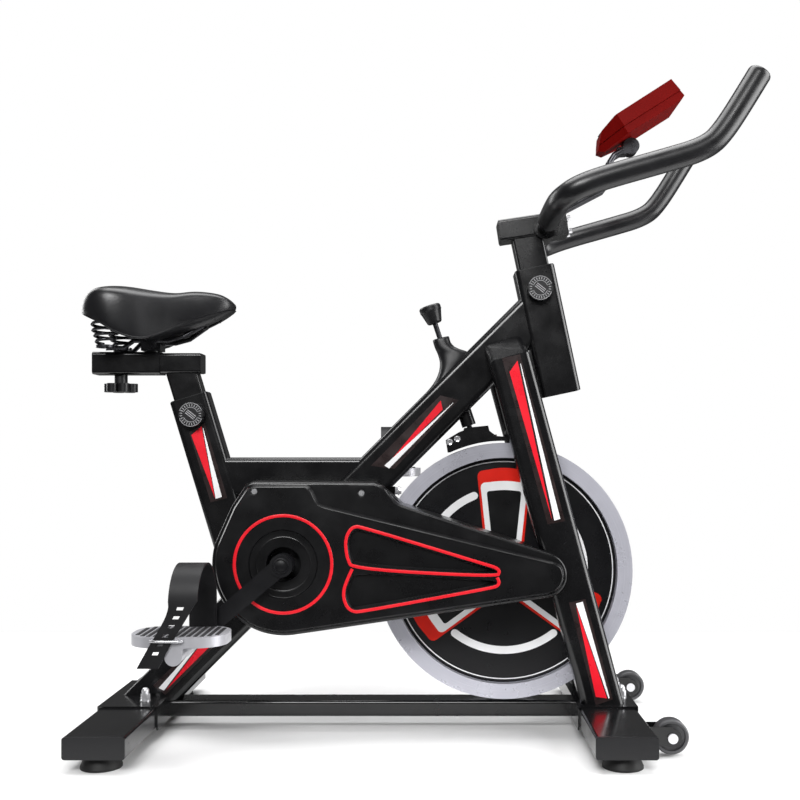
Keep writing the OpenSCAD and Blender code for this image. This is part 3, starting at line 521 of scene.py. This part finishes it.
def line_on(bm, path, width, y, rise, closed=True):
    """A raised painted line: a low rounded ribbon that faces -Y."""
    if closed:
        left, right = offset(path, width / 2), offset(path, -width / 2)
    else:
        left, right = [], []
        for i, p in enumerate(path):
            along = (path[min(i + 1, len(path) - 1)] - path[max(i - 1, 0)]).normalized()
            left.append(p + Vector((along.y, -along.x)) * width / 2)
            right.append(p - Vector((along.y, -along.x)) * width / 2)
    rows = []
    for t, h in ((0, 0), (0.06, 0.6), (0.3, 1), (0.7, 1), (0.94, 0.6), (1, 0)):
        rows.append([bm.verts.new((a.lerp(b, t).x, y - rise * h, a.lerp(b, t).y))
                     for a, b in zip(left, right)])
    n = len(path)
    for a, b in zip(rows, rows[1:] + rows[:1]):
        for k in range(n if closed else n - 1):
            m = (k + 1) % n
            bm.faces.new((a[k], a[m], b[m], b[k]))
    if not closed:
        bm.faces.new([r[0] for r in rows])
        bm.faces.new([r[-1] for r in rows])


def guard_lines():
    bm = bmesh.new()
    line_on(bm, circle(drum, 0.0707, 96), 0.0046, GUARD_FACE, 0.0006)
    upper = rounded(UPPER, 3)
    line_on(bm, upper, 0.0046, GUARD_FACE, 0.0006)
    lower = [v2(*c) for c in LOWER]
    line_on(bm, chaikin(lower, 3), 0.0046, GUARD_FACE, 0.00055, closed=False)
    piece("guard_red_lines", bm, red_line, "frame")


guard_outer()
guard_lines()


# ---------- printed graphics on the tubes ----------

def local_frame(origin, tilt):
    """Along and across directions of a tube that leans tilt degrees towards +X."""
    t = math.radians(tilt)
    o = v2(*origin)
    along, across = Vector((math.sin(t), math.cos(t))), Vector((math.cos(t), -math.sin(t)))
    return lambda a, c: o + along * (a * MM) + across * (c * MM)


def wind(outline):
    area = sum(a.x * b.y - b.x * a.y for a, b in zip(outline, outline[1:] + outline[:1]))
    return outline if area > 0 else outline[::-1]


def decal(name, place, outline, half, level, material, both=True, body="frame"):
    """A thin printed film on a tube's side, and its twin on the other side."""
    bm = bmesh.new()
    shape = resample(wind([place(*p) for p in outline]), 0.03)
    plate(bm, shape, -half + 0.00005, -0.0001 - level)
    if both:
        plate(bm, shape, half - 0.00005, 0.0001 + level)
    piece(name, bm, material, body)


graphics = {
    "fork": (local_frame((287.1, 52), -15.05), 0.075,
             [(536, -12), (534.5, 15.5), (278, 15.7), (279.8, -10.5)],
             [(526.5, 9.5), (513, -6.5), (284, -2.5)],
             [(521, 12), (521, 12.8), (282.9, 9.8), (282.7, 0.5)]),
    "fork_low": (local_frame((287.1, 52), -15.05), 0.075,
                 [(159.5, -10), (158.2, 14.5), (4, 15.6), (2, -11.2)],
                 [(152, -1), (14, -8), (7.5, 7.6)],
                 [(155.5, -0.5), (155.5, 10), (7.6, 11.5), (6.5, 9.5)]),
    "seat": (local_frame((-314.5, 415.4), -16.9), 0.020,
             [(48, -13.5), (54, 13.5), (-66, 13.5), (-65, -13)],
             [(42.5, -11.5), (51, 7.5), (-61, -4.8)],
             [(48.5, 8.6), (48.7, 9.2), (-62, 6), (-62, -4)]),
    "beam": (local_frame((-430, 19), 45), 0.022,
             [(686, -14), (701, 11), (556, 16), (534, -13)],
             [(548, 4), (681, -8), (673, 4)],
             [(549, 1.5), (551, 9.8), (692, 8.4), (692, 7.8)]),
    "beam_low": (local_frame((-430, 19), 45), 0.022,
                 [(58.5, -11), (62, 13), (187, 13), (184, -9)],
                 [(67.6, 8.2), (170, -5.5), (181, 8.5)],
                 [(62, -2), (65, 6.5), (168, -7), (167, -7.6)]),
}
for name, (place, half, panel, red, white) in graphics.items():
    decal(f"{name}_film", place, panel, half, 0.0, film)
    decal(f"{name}_red", place, red, half, 0.0001, red_print)
    decal(f"{name}_white", place, white, half, 0.00012, white_print)


# ---------- flywheel graphics ----------

WEB = 0.008


def polar(points, turn):
    """Outline points (sideways, outwards) turned about the flywheel's centre, in degrees."""
    t = math.radians(turn)
    out = Vector((math.cos(t), math.sin(t)))
    side = Vector((out.y, -out.x))
    c = Vector((hub.x, hub.z))
    return [c + side * (p[0] * MM) + out * (p[1] * MM) for p in points]


def sector(half_out, half_in, top, low, round_by, bow):
    """A tapering spoke outline with a bowed top and rounded top corners."""
    left = [(-half_in, low), (-half_out, top - round_by * 1.6)]
    corner = [(-half_out + round_by * (1 - math.cos(a)), top - bow - round_by * (1 - math.sin(a)) + bow * 0.2)
              for a in (math.radians(d) for d in (20, 45, 70, 90))]
    crown = [(x * (half_out - round_by) / 4, top - bow * (x / 4) ** 2) for x in (-3, -2, -1, 0)]
    half = left + corner + crown
    return half + [(-x, z) for x, z in reversed(half[:-1])]


RING_RADIUS = 168.3
RING_WIDTH = 1.6


def at_turn(radius, degrees):
    """A point at a turn clockwise from straight up."""
    a = math.radians(degrees)
    return (radius * math.sin(a), radius * math.cos(a))


def flywheel_prints():
    """Three framed sectors, three curved strokes and one thin ring, on both faces."""
    orange, white, black = bmesh.new(), bmesh.new(), bmesh.new()
    for turn in (90, 210, 330):
        for bm, spoke, level in ((orange, sector(41, 30, 158.5, 34, 9, 5), 0.0002),
                                 (white, sector(36, 26, 138, 36, 7, 3), 0.00035),
                                 (black, sector(26.5, 18, 124, 38, 4, 2), 0.0005)):
            outline = wind(polar(spoke, turn))
            for side in (-1, 1):
                plate(bm, outline, side * (WEB - 0.00005), side * (level + 0.00005))
    for turn in (30, 150, 270):
        inner = [at_turn(118, d) for d in range(38, -39, -4)]
        outer = [at_turn(130, d) for d in range(-38, 39, 4)]
        cap = []
        for end in (-38, 38):
            e = math.radians(end)
            centre = Vector((124 * math.sin(e), 124 * math.cos(e)))
            out = Vector((math.sin(e), math.cos(e)))
            away = Vector((math.cos(e), -math.sin(e))) * (1 if end > 0 else -1)
            cap.append([tuple(centre + out * 6 * math.cos(a) + away * 6 * math.sin(a))
                        for a in (math.radians(d) for d in range(20, 161, 20))])
        stroke = inner + cap[0][::-1] + outer + cap[1]
        outline = wind(polar(stroke, turn))
        for side in (-1, 1):
            plate(white, outline, side * (WEB - 0.00005), side * 0.00035)
    for side in (-1, 1):
        high = side * (WEB + 0.0003)
        low = side * (WEB - 0.0001)
        outside = circle((hub.x, hub.z), (RING_RADIUS + RING_WIDTH / 2) * MM, 128)
        inside = circle((hub.x, hub.z), (RING_RADIUS - RING_WIDTH / 2) * MM, 128)
        outer = ring_at(white, outside, high)
        inner = ring_at(white, inside, high)
        outer_low = ring_at(white, outside, low)
        inner_low = ring_at(white, inside, low)
        bridge(white, outer, inner)
        bridge(white, outer_low, inner_low)
        bridge(white, outer, outer_low)
        bridge(white, inner, inner_low)
    for name, bm, material in (("flywheel_orange", orange, orange_print),
                               ("flywheel_white", white, white_print),
                               ("flywheel_black", black, materials["guard_plastic"])):
        piece(name, bm, material, "flywheel_assembly")


flywheel_prints()


# ---------- saddle ----------

def smoothstep(t):
    """Rises from 0 to 1 with flat ends."""
    t = max(0.0, min(1.0, t))
    return t * t * (3 - 2 * t)


def curve_at(points, x):
    """A smooth curve through (x, value) points."""
    if x <= points[0][0]:
        return points[0][1]
    for i, ((x0, a), (x1, b)) in enumerate(zip(points, points[1:])):
        if x <= x1:
            before = points[i - 1] if i else (x0, a)
            after = points[i + 2] if i + 2 < len(points) else (x1, b)
            w = x1 - x0
            m0 = (b - before[1]) / max(1e-6, x1 - before[0]) * w
            m1 = (after[1] - a) / max(1e-6, after[0] - x0) * w
            t = (x - x0) / w
            return ((2 * t ** 3 - 3 * t ** 2 + 1) * a + (t ** 3 - 2 * t ** 2 + t) * m0
                    + (3 * t ** 2 - 2 * t ** 3) * b + (t ** 3 - t ** 2) * m1)
    return points[-1][1]


SADDLE_TOP = [(-500, 665), (-490, 671), (-470, 677), (-448, 679.5), (-425, 679), (-390, 674.5),
              (-360, 671.8), (-335, 674.8), (-315, 674.2), (-295, 670.8), (-281, 665), (-272, 657.5)]
SADDLE_HEM = [(-500, 637), (-482, 629), (-455, 617), (-430, 603), (-410, 596.8), (-395, 597.5),
              (-370, 608), (-345, 620.5), (-320, 630), (-296, 638), (-272, 645.5)]
SADDLE_HALF = [(-500, 34), (-496, 59), (-486, 78), (-468, 91), (-448, 96), (-430, 93), (-410, 84),
               (-390, 72), (-370, 61), (-350, 51), (-330, 43), (-310, 36), (-292, 28.5),
               (-281, 20.5), (-275, 12)]


def saddle_outline(count=36):
    """The saddle's plan outline from the rear, round the left side to the nose and back."""
    half = [(-500, 0.0), (-500, 15.0), (-499.6, 30.0)]
    for i in range(1, count):
        t = i / count
        x = -499.6 + 225 * (t * t * (3 - 2 * t) * 0.45 + t * 0.55)
        half.append((x, curve_at(SADDLE_HALF, x)))
    half += [(-273.2, 6.0), (-272.6, 0.0)]
    return half + [(x, -y) for x, y in half[-2:0:-1]]


def saddle_cushion():
    outline = saddle_outline()
    rows = []
    crown = 9
    for k in range(crown + 1):
        angle = math.radians(90 * k / crown)
        row = []
        for x, y in outline:
            sx = max(-440.0, min(-300.0, -452 + (x + 493) * 0.78))
            f = math.sin(angle)
            px, py = sx + (x - sx) * f, y * f
            # the crown is flatter along the middle and rolls off at the sides
            hem = curve_at(SADDLE_HEM, x)
            side = hem + 0.6 * (curve_at(SADDLE_TOP, x) - hem)
            top = curve_at(SADDLE_TOP, px)
            along = smoothstep((px + 470) / 40) * smoothstep((-300 - px) / 40)
            groove = 2.2 * math.exp(-(py / 9.0) ** 2) * along
            roll = math.cos(angle) ** 0.55 if angle < math.pi / 2 - 1e-6 else 0.0
            row.append(Vector((px, py, side + (top - groove - side) * roll)))
        rows.append(row)
    for drop, tuck in ((0.3, 0.0), (0.62, 1.0), (0.86, 2.5), (0.97, 4.0), (1.0, 5.5), (0.985, 8.0),
                       (0.9, 9.2)):
        row = []
        for x, y in outline:
            hem = curve_at(SADDLE_HEM, x)
            side = hem + 0.6 * (curve_at(SADDLE_TOP, x) - hem)
            inward = Vector((max(-440.0, min(-300.0, x)) - x, -y))
            inward = inward.normalized() if inward.length > 1e-6 else Vector((1, 0))
            row.append(Vector((x + inward.x * tuck, y + inward.y * tuck, side + (hem - side) * drop)))
        rows.append(row)
    # the hollow underneath, up to a ceiling just over the pan
    for f, rise in ((0.9, 0.5), (0.88, 1.0), (0.5, 1.0), (0.12, 1.0)):
        row = []
        for x, y in outline:
            sx = max(-440.0, min(-300.0, -452 + (x + 493) * 0.78))
            low = curve_at(SADDLE_HEM, x)
            ceiling = max(637.0, low + 1.0)
            row.append(Vector((sx + (x - sx) * f, y * f, low + (ceiling - low) * rise)))
        rows.append(row)
    # the rear wall leans forward, so that it reaches furthest back at the hem
    for row in rows:
        for p in row:
            p.x += 0.36 * max(0.0, p.z - 640) * smoothstep((-455 - p.x) / 45)
    bm = bmesh.new()
    rings = [[bm.verts.new(p * MM) for p in row] for row in rows[1:]]
    for a, b in zip(rings, rings[1:]):
        bridge(bm, a, b)
    tip = [bm.verts.new(p * MM) for p in rows[0]]
    bridge(bm, tip, rings[0])
    bmesh.ops.remove_doubles(bm, verts=tip, dist=1e-5)
    bm.faces.new(rings[-1])
    obj = piece("saddle_padding", bm, materials["saddle_cover"], "saddle", sharp=80,
                smooth=1, replaces=("saddle_cushion",))
    # the moulded edge that the cover is wrapped over
    bm = bmesh.new()
    hem_line = [p * MM for p in rows[crown + 5]]
    tube(bm, [p + Vector((0, 0, 0.0004)) for p in hem_line], 0.0018, 8, closed=True)
    piece("saddle_edge", bm, materials["black_plastic"], "saddle")


PAN_ROOF = 614 * MM


def saddle_pan():
    """The moulded base under the padding, deepest over the rails and shallow at the nose.

    A channel up the middle clears the carriage's pin when the springs give.
    """
    low = [(-478, 628), (-455, 622), (-430, 612), (-405, 604), (-385, 601), (-367, 603),
           (-330, 616), (-305, 627), (-285, 637.5), (-276, 642)]
    bm = bmesh.new()
    rings = []
    for inset, depth in ((0.93, 0.0), (0.88, 0.35), (0.74, 0.7), (0.5, 0.92), (0.2, 1.0), (0.17, 1.0)):
        ring = []
        for x, y in saddle_outline():
            sx = max(-440.0, min(-300.0, -452 + (x + 493) * 0.78))
            px = sx + (x - sx) * min(1.0, inset + 0.06)
            hem = curve_at(SADDLE_HEM, x) + 1.5
            floor_z = min(hem - 1.0, curve_at(low, px))
            ring.append(bm.verts.new(Vector((px, y * inset, hem + (floor_z - hem) * depth)) * MM))
        rings.append(ring)
    rings.append([bm.verts.new((v.co.x, v.co.y, max(PAN_ROOF, v.co.z + 2 * MM))) for v in rings[-1]])
    for a, b in zip(rings, rings[1:]):
        bridge(bm, a, b)
    bm.faces.new(rings[0])
    bm.faces.new(rings[-1])
    piece("saddle_pan", bm, materials["black_plastic"], "saddle", sharp=50)


def spring(side):
    """A coil spring that widens towards the saddle, with its end turns laid flat."""
    lo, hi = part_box("saddle_springs")
    x = (lo.x + hi.x) / 2
    y = side * (hi.y - (hi.x - lo.x) / 2)
    bm = bmesh.new()
    turns, steps = 3.4, 110
    wire = 0.0024
    points = []
    for i in range(steps + 1):
        t = i / steps
        a = math.tau * turns * t + (0.4 if side > 0 else 2.0)
        flat = smoothstep(t / 0.12) * 0.05 + t * 0.9 + smoothstep((t - 0.88) / 0.12) * 0.05
        r = 0.0132 + 0.0062 * smoothstep(t * 1.15)
        z = lo.z + wire + (hi.z - lo.z - 2 * wire) * flat
        points.append(Vector((x + r * math.cos(a), y + r * math.sin(a), z)))
    tube(bm, points, wire, 10)
    return bm


saddle_cushion()
saddle_pan()
lo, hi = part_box("saddle_springs")
for name, side in (("spring_left", 1), ("spring_right", -1)):
    obj = piece(name, spring(side), materials["dark_steel"], "seat_slide",
                replaces=("saddle_springs",))
    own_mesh(obj)


# ---------- handlebar grips ----------

BAR_SIDE = 206
BAR = [(207, 0, 773), (207, 170, 773), (214, 192, 777), (230, BAR_SIDE, 786), (264, BAR_SIDE, 799),
       (348, BAR_SIDE, 822.5), (402, BAR_SIDE, 838.5), (428, BAR_SIDE, 860), (478.4, BAR_SIDE, 942.4)]


GRIP_RADIUS = 0.0164
GRIP_ROUND = 0.005


def grip(side):
    """A foam sleeve that follows one bar, with its two ends rounded over."""
    tip = Vector(BAR[-1]) + (Vector(BAR[-1]) - Vector(BAR[-2])).normalized() * 2
    raw = [Vector((207, 62, 773))] + [Vector(p) for p in BAR[1:-1]] + [tip]
    points = chaikin(raw, 3)
    points = [Vector((p.x, side * p.y, p.z)) * MM for p in points]
    dense = [points[0]]
    for a, b in zip(points, points[1:]):
        count = max(1, int((b - a).length / 0.008))
        dense += [a.lerp(b, (i + 1) / count) for i in range(count)]
    walked, total = [0.0], 0.0
    for a, b in zip(dense, dense[1:]):
        total += (b - a).length
        walked.append(total)

    # rounded ends: extra rings close to each end
    def cap(p, away):
        return [(p - away * (GRIP_ROUND * (1 - math.sin(t))), GRIP_RADIUS - GRIP_ROUND * (1 - math.cos(t)))
                for t in (math.radians(d) for d in (0, 30, 55, 75, 90))]
    first = cap(dense[0], (dense[0] - dense[1]).normalized())[::-1]
    last = cap(dense[-1], (dense[-1] - dense[-2]).normalized())
    clear = GRIP_ROUND * 1.1
    body = [(p, GRIP_RADIUS) for p, w in zip(dense, walked) if clear < w < total - clear]
    path = first + body + last
    bm = bmesh.new()
    tube(bm, [p for p, _ in path], [q for _, q in path], 32)
    return bm


for name, side in (("grip_right", -1), ("grip_left", 1)):
    piece(name, grip(side), materials["grip_foam"], "handlebar_mast",
          replaces=("handlebar_grips",))


# ---------- pedals ----------

# how far the strap's outer leg is swept forward, and its half width, by height over the axle
STRAP_SWEEP = [(-0.0155, -0.0334), (0.0195, -0.0147), (0.036, -0.0046), (0.056, 0.0065),
               (0.0695, 0.0116), (0.083, 0.0150)]
STRAP_HALF = [(-0.0155, 0.0145), (0.0195, 0.0137), (0.036, 0.0138), (0.056, 0.0148),
              (0.0695, 0.0167), (0.083, 0.0190)]


def strap(name, node, axis_joint, side, body):
    """The perforated toe strap, its outer end pulled back through the buckle."""
    axis = Vector(joints[axis_joint]["pos_m"])
    r = 0.0458
    mid = side * 0.18475
    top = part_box(node)[1].z - 0.00125
    half, thick = 0.0195, 0.0025
    # (y, z, shift towards +X) down the middle of the strap, from the inner slot outwards
    base = top - r - axis.z
    lower = 0.074 - base
    inner = [(r, 0.013 + (base - 0.013) * i / 6, 0.020) for i in range(6)]
    bow = [(r * math.cos(a), base + r * math.sin(a), 0.020 - 0.0065 * a / math.pi)
           for a in (math.pi * i / 20 for i in range(21))]
    levels = []
    middle = base - 0.0095
    while middle > 0.003:
        levels += [(middle + 0.0022, True), (middle - 0.0022, False)]
        middle -= 0.012
    levels += [(-0.003, False), (-0.009, False), (-0.0155, False)]
    outer = [(-r, z, curve_at(STRAP_SWEEP, z + lower)) for z, _ in levels]
    path = inner + bow + outer
    first = len(inner) + len(bow)
    holes = {first + i for i, (_, opens) in enumerate(levels) if opens}
    bm = bmesh.new()
    rows = []
    columns = (-1.0, -0.66, -0.29, 0.0, 0.29, 0.66, 1.0)
    cross = len(columns)
    for i, (y, z, shift) in enumerate(path):
        y0, z0, _ = path[max(i - 1, 0)]
        y1, z1, _ = path[min(i + 1, len(path) - 1)]
        d = Vector((y1 - y0, z1 - z0)).normalized()
        normal = Vector((d.y, -d.x))
        wide = half if i < first else curve_at(STRAP_HALF, z + lower)
        row = []
        for place in columns:
            x = axis.x + shift + wide * place
            for s in (-0.5, 0.5):
                q = Vector((y, z)) + normal * thick * s
                row.append(bm.verts.new((x, mid - side * q.x, axis.z + q.y)))
        rows.append(row)

    def at(i, k, s):
        return rows[i][2 * k + s]
    for i in range(len(rows) - 1):
        open_row = i in holes
        for k in range(cross - 1):
            if open_row and k in (2, 3):
                continue
            for s in (0, 1):
                bm.faces.new((at(i, k, s), at(i + 1, k, s), at(i + 1, k + 1, s), at(i, k + 1, s)))
        if open_row:
            for k in (2, 4):
                bm.faces.new((at(i, k, 0), at(i + 1, k, 0), at(i + 1, k, 1), at(i, k, 1)))
            for row in (i, i + 1):
                for k in (2, 3):
                    bm.faces.new((at(row, k, 0), at(row, k + 1, 0), at(row, k + 1, 1), at(row, k, 1)))
        for k in (0, cross - 1):
            bm.faces.new((at(i, k, 0), at(i + 1, k, 0), at(i + 1, k, 1), at(i, k, 1)))
    for i in (0, len(rows) - 1):
        for k in range(cross - 1):
            bm.faces.new((at(i, k, 0), at(i, k + 1, 0), at(i, k + 1, 1), at(i, k, 1)))
    return piece(name, bm, materials["strap"], body, sharp=50, replaces=(node,))


def pedal_trim(name, axis_joint, side, body):
    """Tread ribs on the platform and the strap's outer buckle."""
    axis = Vector(joints[axis_joint]["pos_m"])
    top = axis.z + 0.025
    mid = side * 0.180
    bm = bmesh.new()

    def lift(points, z):
        return [bm.verts.new((axis.x + p.x, mid + p.y, z)) for p in points]
    for i in range(13):
        x = -0.054 + i * 0.009
        reach = 0.041 if abs(x) < 0.026 else 0.008 + math.sqrt(max(0, 0.034 ** 2 - (abs(x) - 0.026) ** 2))
        reach = min(reach, 0.040) - 0.001
        near = reach if abs(x) > 0.024 else 0.036
        y0, y1 = (-reach, near) if side < 0 else (-near, reach)
        rib = [Vector((x - 0.0026, y0)), Vector((x + 0.0026, y0)),
               Vector((x + 0.0026, y1)), Vector((x - 0.0026, y1))]
        rib = wind(resample(rib, 0.02))
        base = lift(rib, top - 0.0002)
        shoulder = lift(rib, top + 0.0008)
        crown = lift(offset(rib, -0.0008), top + 0.0013)
        bridge(bm, base, shoulder)
        bridge(bm, shoulder, crown)
        bm.faces.new(crown)
        bm.faces.new(base[::-1])
    piece(name + "_tread", bm, tread, body)
    # the buckle: a wire loop round the strap's outer leg
    bm = bmesh.new()
    y_out = side * 0.2345
    y_in = side * 0.2285
    z = axis.z + 0.021
    loop = [Vector((axis.x - 0.030, y_in, z)), Vector((axis.x - 0.029, y_out, z)),
            Vector((axis.x + 0.012, y_out, z)), Vector((axis.x + 0.013, y_in, z))]
    tube(bm, chaikin(loop, 2), 0.0018, 12)
    piece(name + "_buckle", bm, materials["bright_steel"], body)


for name, joint_name, side in (("right", "pedal_spin_right", -1), ("left", "pedal_spin_left", 1)):
    strap(f"toe_strap_{name}", f"pedal_strap_{name}", joint_name, side, f"{name}_pedal")
    pedal_trim(f"pedal_{name}", joint_name, side, f"{name}_pedal")


# ---------- crank caps, brake collar and lever screws ----------

def crank_cap(name, side):
    """The cap over the spindle's end."""
    reach = spindle_end(side)
    bm = bmesh.new()
    lathe(bm, [(0.0008, 0.0), (0.0008, 0.0062), (0.0002, 0.0074), (0.0002, 0.0092),
               (0.0016, 0.0100), (0.0014, 0.0112), (0.0002, 0.0118), (-0.0010, 0.0118)],
          Vector((crank.x, reach, crank.z)), (0, side, 0), 40)
    piece(name, bm, materials["crank_paint"], "crankset")


def spindle_end(side):
    """The outermost Y of the crank and its spindle at the axle."""
    best = 0.0
    for node in ("crank_right", "crank_left", "crank_spindle"):
        if node not in nodes:
            continue
        for v in nodes[node].data.vertices:
            p = nodes[node].matrix_world @ v.co
            if math.hypot(p.x - crank.x, p.z - crank.z) < 0.011:
                best = max(best, p.y * side)
    return best * side


BOSS_REAR = [(512, 16), (518, 22), (534, 35), (550, 42.5), (565, 44.5), (577, 42), (590, 37), (603, 33.5)]
BOSS_FRONT = [(512, 34), (530, 52), (550, 72), (565, 84), (575, 91), (581, 88), (586, 71), (592, 63),
              (597, 60.5), (603, 59)]
BOSS_WIDE = [(512, 19), (540, 18), (565, 16.5), (585, 14), (603, 12.2)]


def brake_boss():
    """The moulded collar round the brake rod, flaring to a foot along the beam."""
    bm = bmesh.new()
    rings = []
    levels = 30
    for i in range(levels + 3):
        t = min(1.0, i / levels)
        z = 512 + 91 * t
        rear, front = curve_at(BOSS_REAR, z), curve_at(BOSS_FRONT, z)
        shrink = (0.0, 0.8, 3.0)[max(0, i - levels)]
        lift = (0.0, 0.8, 0.8)[max(0, i - levels)]
        ring = []
        for k in range(40):
            a = math.tau * k / 40
            c, w = math.cos(a), math.sin(a)
            reach = (abs(c) ** 2.6 + abs(w) ** 2.6) ** (-1 / 2.6)
            x = (rear + front) / 2 + ((front - rear) / 2 - shrink) * c * reach
            y = (curve_at(BOSS_WIDE, z) - shrink) * w * reach
            slope = 0.25 * (x - 46) * smoothstep((z - 575) / 25)
            ring.append(bm.verts.new(Vector((x, y, z + lift + slope)) * MM))
        rings.append(ring)
    for a, b in zip(rings, rings[1:]):
        bridge(bm, a, b)
    bm.faces.new(rings[0])
    bm.faces.new(rings[-1])
    piece("brake_collar", bm, materials["black_plastic"], "frame", sharp=60,
          replaces=("brake_boss",))


brake_boss()
crank_cap("crank_cap_right", -1)
crank_cap("crank_cap_left", 1)


def lever_screws():
    """The two screws that hold the felt pad to the brake lever, on each side of it."""
    lo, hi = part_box("brake_lever")
    bm = bmesh.new()
    for side, y in ((-1, lo.y), (1, hi.y)):
        for x, z in ((0.0595, 0.442), (0.0712, 0.4466)):
            lathe(bm, [(0.0004, 0.0), (0.0004, 0.0020), (0.0018, 0.0023), (0.0022, 0.0040),
                       (0.0012, 0.0050), (-0.0004, 0.0052)], Vector((x, y, z)), (0, side, 0), 28)
    piece("brake_lever_screws", bm, materials["chrome"], "brake_shoe")


lever_screws()


# ---------- knobs ----------

def knob_marks(name, joint_name, body):
    """A printed ring with tick marks and a bar on a clamping knob's face."""
    at = Vector(joints[joint_name]["pos_m"])
    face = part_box(body_nodes[body])[0].y
    c = (at.x, at.z)
    bm = bmesh.new()
    for r, wide in ((0.0178, 0.0008), (0.0112, 0.0008)):
        for start in (20, 200):
            line_on(bm, arc(c, r, start, start + 140, 24), wide, face, 0.00025, closed=False)
    for i in range(24):
        a = math.radians(i * 15 + 7)
        out = Vector((math.cos(a), math.sin(a)))
        path = [Vector(c) + out * q for q in (0.0128, 0.0146, 0.0164)]
        line_on(bm, path, 0.0011, face, 0.00025, closed=False)
    t = math.radians(-38)
    bar = Vector((math.cos(t), math.sin(t)))
    up = Vector((-bar.y, bar.x))
    for shift in (-0.0028, 0.0, 0.0028):
        path = [Vector(c) + up * shift + bar * q for q in (-0.0082, 0.0, 0.0082)]
        line_on(bm, path, 0.0013, face, 0.00025, closed=False)
    piece(name, bm, mark_print, body)


body_nodes = {b: names[0] for b, names in behaviour["bodies"].items()}
knob_marks("seat_knob_marks", "seat_height_knob_turn", "seat_height_clamp")
knob_marks("handlebar_knob_marks", "handlebar_knob_turn", "handlebar_clamp")


# ---------- softened edges on the carried-over parts ----------

SOFT_EDGES = {
    "monitor_rear_shell": 0.0022, "monitor_front_shell": 0.0022, "seat_carriage": 0.0008,
    "stabilizer_end_caps": 0.001, "base_brackets": 0.001, "handlebar_post": 0.0008,
    "seat_post": 0.0006, "stem_clamp": 0.0012, "brake_lever": 0.001,
    "seat_height_knob": 0.0008, "handlebar_height_knob": 0.0008, "seat_slide_knob": 0.001,
    "pedal_right": 0.001, "pedal_left": 0.001, "crank_right": 0.001, "crank_left": 0.001,
    "rubber_feet": 0.001, "transport_wheel_right": 0.0005, "transport_wheel_left": 0.0005,
    "brake_knob": 0.0008, "mode_button": 0.0006, "flywheel": 0.001,
}
for name, width in SOFT_EDGES.items():
    edge = nodes[name].modifiers.new("soft_edges", "BEVEL")
    edge.width = width
    edge.segments = 2
    edge.limit_method = "ANGLE"
    edge.angle_limit = math.radians(40)
    edge.harden_normals = False
    edge.use_clamp_overlap = True


# ---------- camera, floor and light ----------

scene = bpy.context.scene
camera = bpy.data.objects.new("camera", bpy.data.cameras.new("camera"))
scene.collection.objects.link(camera)
camera.location = (0.037, -1.6, 0.43)
camera.rotation_euler = (math.radians(90), 0, 0)
camera.data.sensor_width = 36
camera.data.lens = 46.22
camera.data.shift_x = -0.04375
camera.data.shift_y = 0.0625
camera.data.clip_start = 0.05
scene.camera = camera


def floor():
    bm = bmesh.new()
    size, steps = Vector((1.3, 0.62)), 24
    for i in range(steps + 1):
        for k in range(steps + 1):
            bm.verts.new((size.x * (2 * i / steps - 1), size.y * (2 * k / steps - 1) + 0.19, -0.0003))
    bm.verts.ensure_lookup_table()
    for i in range(steps):
        for k in range(steps):
            a = i * (steps + 1) + k
            bm.faces.new([bm.verts[n] for n in (a, a + steps + 1, a + steps + 2, a + 1)])
    mesh = bpy.data.meshes.new("floor")
    bm.to_mesh(mesh)
    bm.free()
    mesh.materials.append(plain("floor_finish", (0.86, 0.86, 0.86), 0.55, spread=0.015, cloud=1.5,
                                strength=0.02, rough_spread=0.03))
    obj = bpy.data.objects.new("floor", mesh)
    scene.collection.objects.link(obj)


floor()


def softbox(name, at, towards, size, power):
    light = bpy.data.lights.new(name, "AREA")
    light.shape = "RECTANGLE"
    light.size, light.size_y = size
    light.energy = power
    obj = bpy.data.objects.new(name, light)
    scene.collection.objects.link(obj)
    obj.location = at
    obj.rotation_euler = (Vector(towards) - Vector(at)).to_track_quat("-Z", "Y").to_euler()


softbox("overhead", (0.0, 0.1, 2.6), (0, 0, 0.3), (2.4, 1.5), 74)
softbox("right_side", (1.9, -0.5, 0.9), (0.1, 0, 0.5), (1.3, 1.9), 58)
softbox("front_high", (-0.5, -2.7, 2.0), (0, 0, 0.4), (1.8, 0.9), 92)
softbox("left_back", (-1.7, 1.2, 1.3), (0, 0, 0.5), (0.7, 1.6), 20)

world = bpy.data.worlds.new("studio")
scene.world = world
world.use_nodes = True
tree = world.node_tree
sky = tree.nodes["Background"]
sky.inputs["Color"].default_value = (1, 1, 1, 1)
seen = tree.nodes.new("ShaderNodeLightPath").outputs["Is Camera Ray"]
tree.links.new(span(tree, seen, 0.1, 1.0, 0.0, 1.0), sky.inputs["Strength"])
scene.view_settings.view_transform = "Standard"
